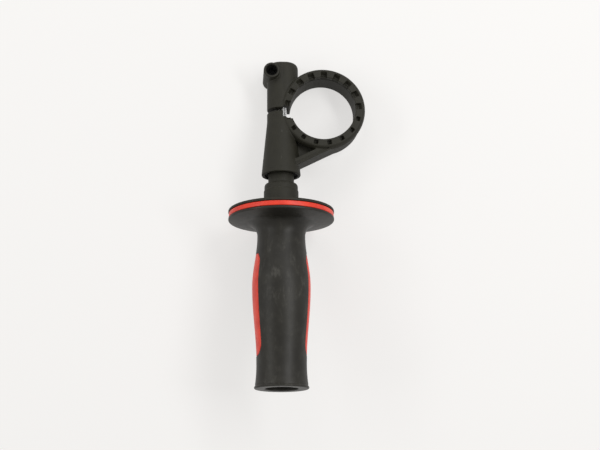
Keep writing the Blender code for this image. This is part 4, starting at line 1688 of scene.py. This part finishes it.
    def build(self) -> Item:
        """Build the clamp and soften its edges and corners as a mould does.

        Returns:
            The finished piece.
        """
        bench = self.bench
        clamp = self.stem()
        bench.join(clamp, Join.ADD, [self.boss(), self.rod_tube(), self.web(), self.strut()])
        clear = self.bore_radius + self.ring_wall / 4
        length = 2 * (self.ring_width + self.stem_radius)
        bore = bench.prism("bore", self.ring_steps, clear, length, self.ring_place)
        bench.join(clamp, Join.CUT, [bore])
        bench.join(clamp, Join.ADD, [self.ring()])
        cutters = [self.socket(), self.split(), self.rod_hole()]
        cutters += [*self.pockets(), self.tooth_gaps(), self.strut_line_cut()]
        bench.join(clamp, Join.CUT, cutters)
        bench.modify(clamp, "REMESH", mode="VOXEL", voxel_size=self.cell, use_smooth_shade=True)
        bench.modify(clamp, "SMOOTH", factor=self.smoothing_strength, iterations=self.smoothing)
        bench.modify(clamp, "DECIMATE", ratio=self.faces_kept)
        bench.settle(clamp)
        return bench.finish(clamp, Body.CLAMP, self.coat, ("clamp_body",), self.sharp)


@dataclass(frozen=True)
class Softbox:
    """A soft lamp that faces the handle: degrees round and above the floor, metres and watts."""

    name: str
    azimuth: float
    elevation: float
    width: float
    length: float
    power: float


@dataclass(frozen=True)
class Studio:
    """Camera, floor, lamps and surroundings."""

    camera_place: Place = (0.02463, -0.02066, 0.873)
    camera_turn: Place = (1.318, 1.601, -0.743)
    camera_near: float = 0.01
    lens: float = 75.0
    sensor: float = 36.0
    floor_size: float = 8.0
    floor_colour: Colour = (0.86, 0.855, 0.845)
    floor_glow_colour: Colour = (1.0, 0.985, 0.97)
    floor_glow: float = 0.965
    floor_glow_share: float = 0.62
    sky_tint: Colour = (1.0, 0.98, 0.95)
    sky_light: float = 0.42
    sky_seen: float = 0.93
    lamp_distance: float = 1.15
    softboxes: tuple[Softbox, ...] = (
        Softbox("right_softbox", 24.0, 52.0, 0.9, 0.16, 6.5),
        Softbox("left_softbox", 168.0, 40.0, 0.9, 0.20, 3.0),
        Softbox("rear_softbox", 90.0, 40.0, 0.9, 0.3, 2.5),
    )

    def camera(self) -> None:
        """Make the camera that looks down as the photograph's does."""
        data = bpy.data.cameras.new("camera")
        data.lens = self.lens
        data.sensor_width = self.sensor
        data.sensor_fit = "HORIZONTAL"
        data.clip_start = self.camera_near
        camera = bpy.data.objects.new("camera", data)
        camera.location = self.camera_place
        camera.rotation_euler = [math.radians(angle) for angle in self.camera_turn]
        bpy.context.scene.collection.objects.link(camera)
        bpy.context.scene.camera = camera

    @staticmethod
    def seen(graph: Graph) -> Reading:
        """Return 1 for rays from the camera, a mirror or glass, and 0 for the rest.

        Args:
            graph: the graph to add to.

        Returns:
            The share, 0 or 1.
        """
        path = graph.add("ShaderNodeLightPath")
        kinds = ("Is Camera Ray", "Is Glossy Ray", "Is Transmission Ray")
        camera, glossy, through = (Reading(graph, path.outputs[kind]) for kind in kinds)
        return graph.math("MAXIMUM", graph.math("MAXIMUM", camera, glossy), through)

    def floor(self) -> None:
        """Make the pale floor, which keeps the handle's soft shadow."""
        half = self.floor_size / 2
        mesh = bpy.data.meshes.new("floor")
        corners = [(-half, -half, 0.0), (half, -half, 0.0), (half, half, 0.0), (-half, half, 0.0)]
        mesh.from_pydata(corners, [], [(0, 1, 2, 3)])
        floor = bpy.data.objects.new("floor", mesh)
        bpy.context.scene.collection.objects.link(floor)
        material = bpy.data.materials.new("pale_board")
        material.use_nodes = True
        graph = Graph(material.node_tree)
        colour = (*self.floor_colour, 1.0)
        matt = graph.read("ShaderNodeBsdfDiffuse", 0, None, {"Color": colour})
        glow_inputs = {"Color": (*self.floor_glow_colour, 1.0), "Strength": self.floor_glow}
        glow = graph.read("ShaderNodeEmission", 0, None, glow_inputs)
        share = self.seen(graph) * self.floor_glow_share
        mixed = graph.read("ShaderNodeMixShader", 0, None, {0: share, 1: matt, 2: glow})
        graph.add("ShaderNodeOutputMaterial", None, {"Surface": mixed})
        mesh.materials.append(material)
        floor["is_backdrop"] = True

    def sky(self) -> None:
        """Make the even surroundings."""
        world = bpy.data.worlds.new("surroundings")
        world.use_nodes = True
        graph = Graph(world.node_tree)
        tint = (*self.sky_tint, 1.0)
        light = graph.read("ShaderNodeBackground", 0, None, {"Color": tint, "Strength": self.sky_light})
        view = graph.read("ShaderNodeBackground", 0, None, {"Color": tint, "Strength": self.sky_seen})
        mixed = graph.read("ShaderNodeMixShader", 0, None, {0: self.seen(graph), 1: light, 2: view})
        graph.add("ShaderNodeOutputWorld", None, {"Surface": mixed})
        bpy.context.scene.world = world

    def lamp(self, box: Softbox) -> None:
        """Make a lamp that faces the handle.

        Args:
            box: the lamp's name, place, size and power.
        """
        data = bpy.data.lights.new(box.name, "AREA")
        data.shape = "RECTANGLE"
        data.size = box.width
        data.size_y = box.length
        data.energy = box.power
        lamp = bpy.data.objects.new(box.name, data)
        turn = Matrix.Rotation(math.radians(box.azimuth), 3, "Z")
        rise = Matrix.Rotation(-math.radians(box.elevation), 3, "Y")
        direction = turn @ rise @ Vector((1.0, 0.0, 0.0))
        lamp.location = self.lamp_distance * direction
        lamp.rotation_euler = direction.to_track_quat("Z", "Y").to_euler()
        bpy.context.scene.collection.objects.link(lamp)

    def build(self) -> None:
        """Build the whole studio."""
        self.camera()
        self.floor()
        self.sky()
        for box in self.softboxes:
            self.lamp(box)
        bpy.context.scene.view_settings.view_transform = "Standard"
        LOG.info("studio: camera, floor, surroundings and %d lamps", len(self.softboxes))


def dress_hidden_steel(lie: Matrix) -> None:
    """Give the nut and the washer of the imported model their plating.

    Args:
        lie: the matrix from the handle's frame to the scene.
    """
    material = ZincSteel(lie, Slot.ZINC).material()
    for name in HIDDEN_STEEL:
        frame["nodes"][name].material_slots[0].material = material
        LOG.info("%s: plated", name)


def main() -> None:
    """Build the studio and every piece of the handle."""
    lie = Lie.from_record(frame["record"]).matrix()
    bench = Bench(lie)
    sizes = GripSizes()
    Studio().build()
    pieces = [
        ClampMoulding(bench, FilledNylon(lie, Slot.NYLON)),
        ClampBolt(bench, ZincSteel(lie, Slot.ZINC)),
        GripCore(bench, FilledNylon(lie, Slot.CORE), sizes),
        RedShell(bench, RedMoulding(lie, Slot.RED), sizes),
        SoftSleeve(bench, SoftRubber(lie, Slot.SOFT), sizes),
    ]
    for piece in pieces:
        piece.build()
    dress_hidden_steel(lie)
    boxes = {"cad": CAD_BOX, "visual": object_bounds()}
    boxes = {name: [list(corner) for corner in box] for name, box in boxes.items()}


if __name__ == "__main__":
    logging.basicConfig(level=logging.INFO, format="%(name)s: %(message)s")
    main()
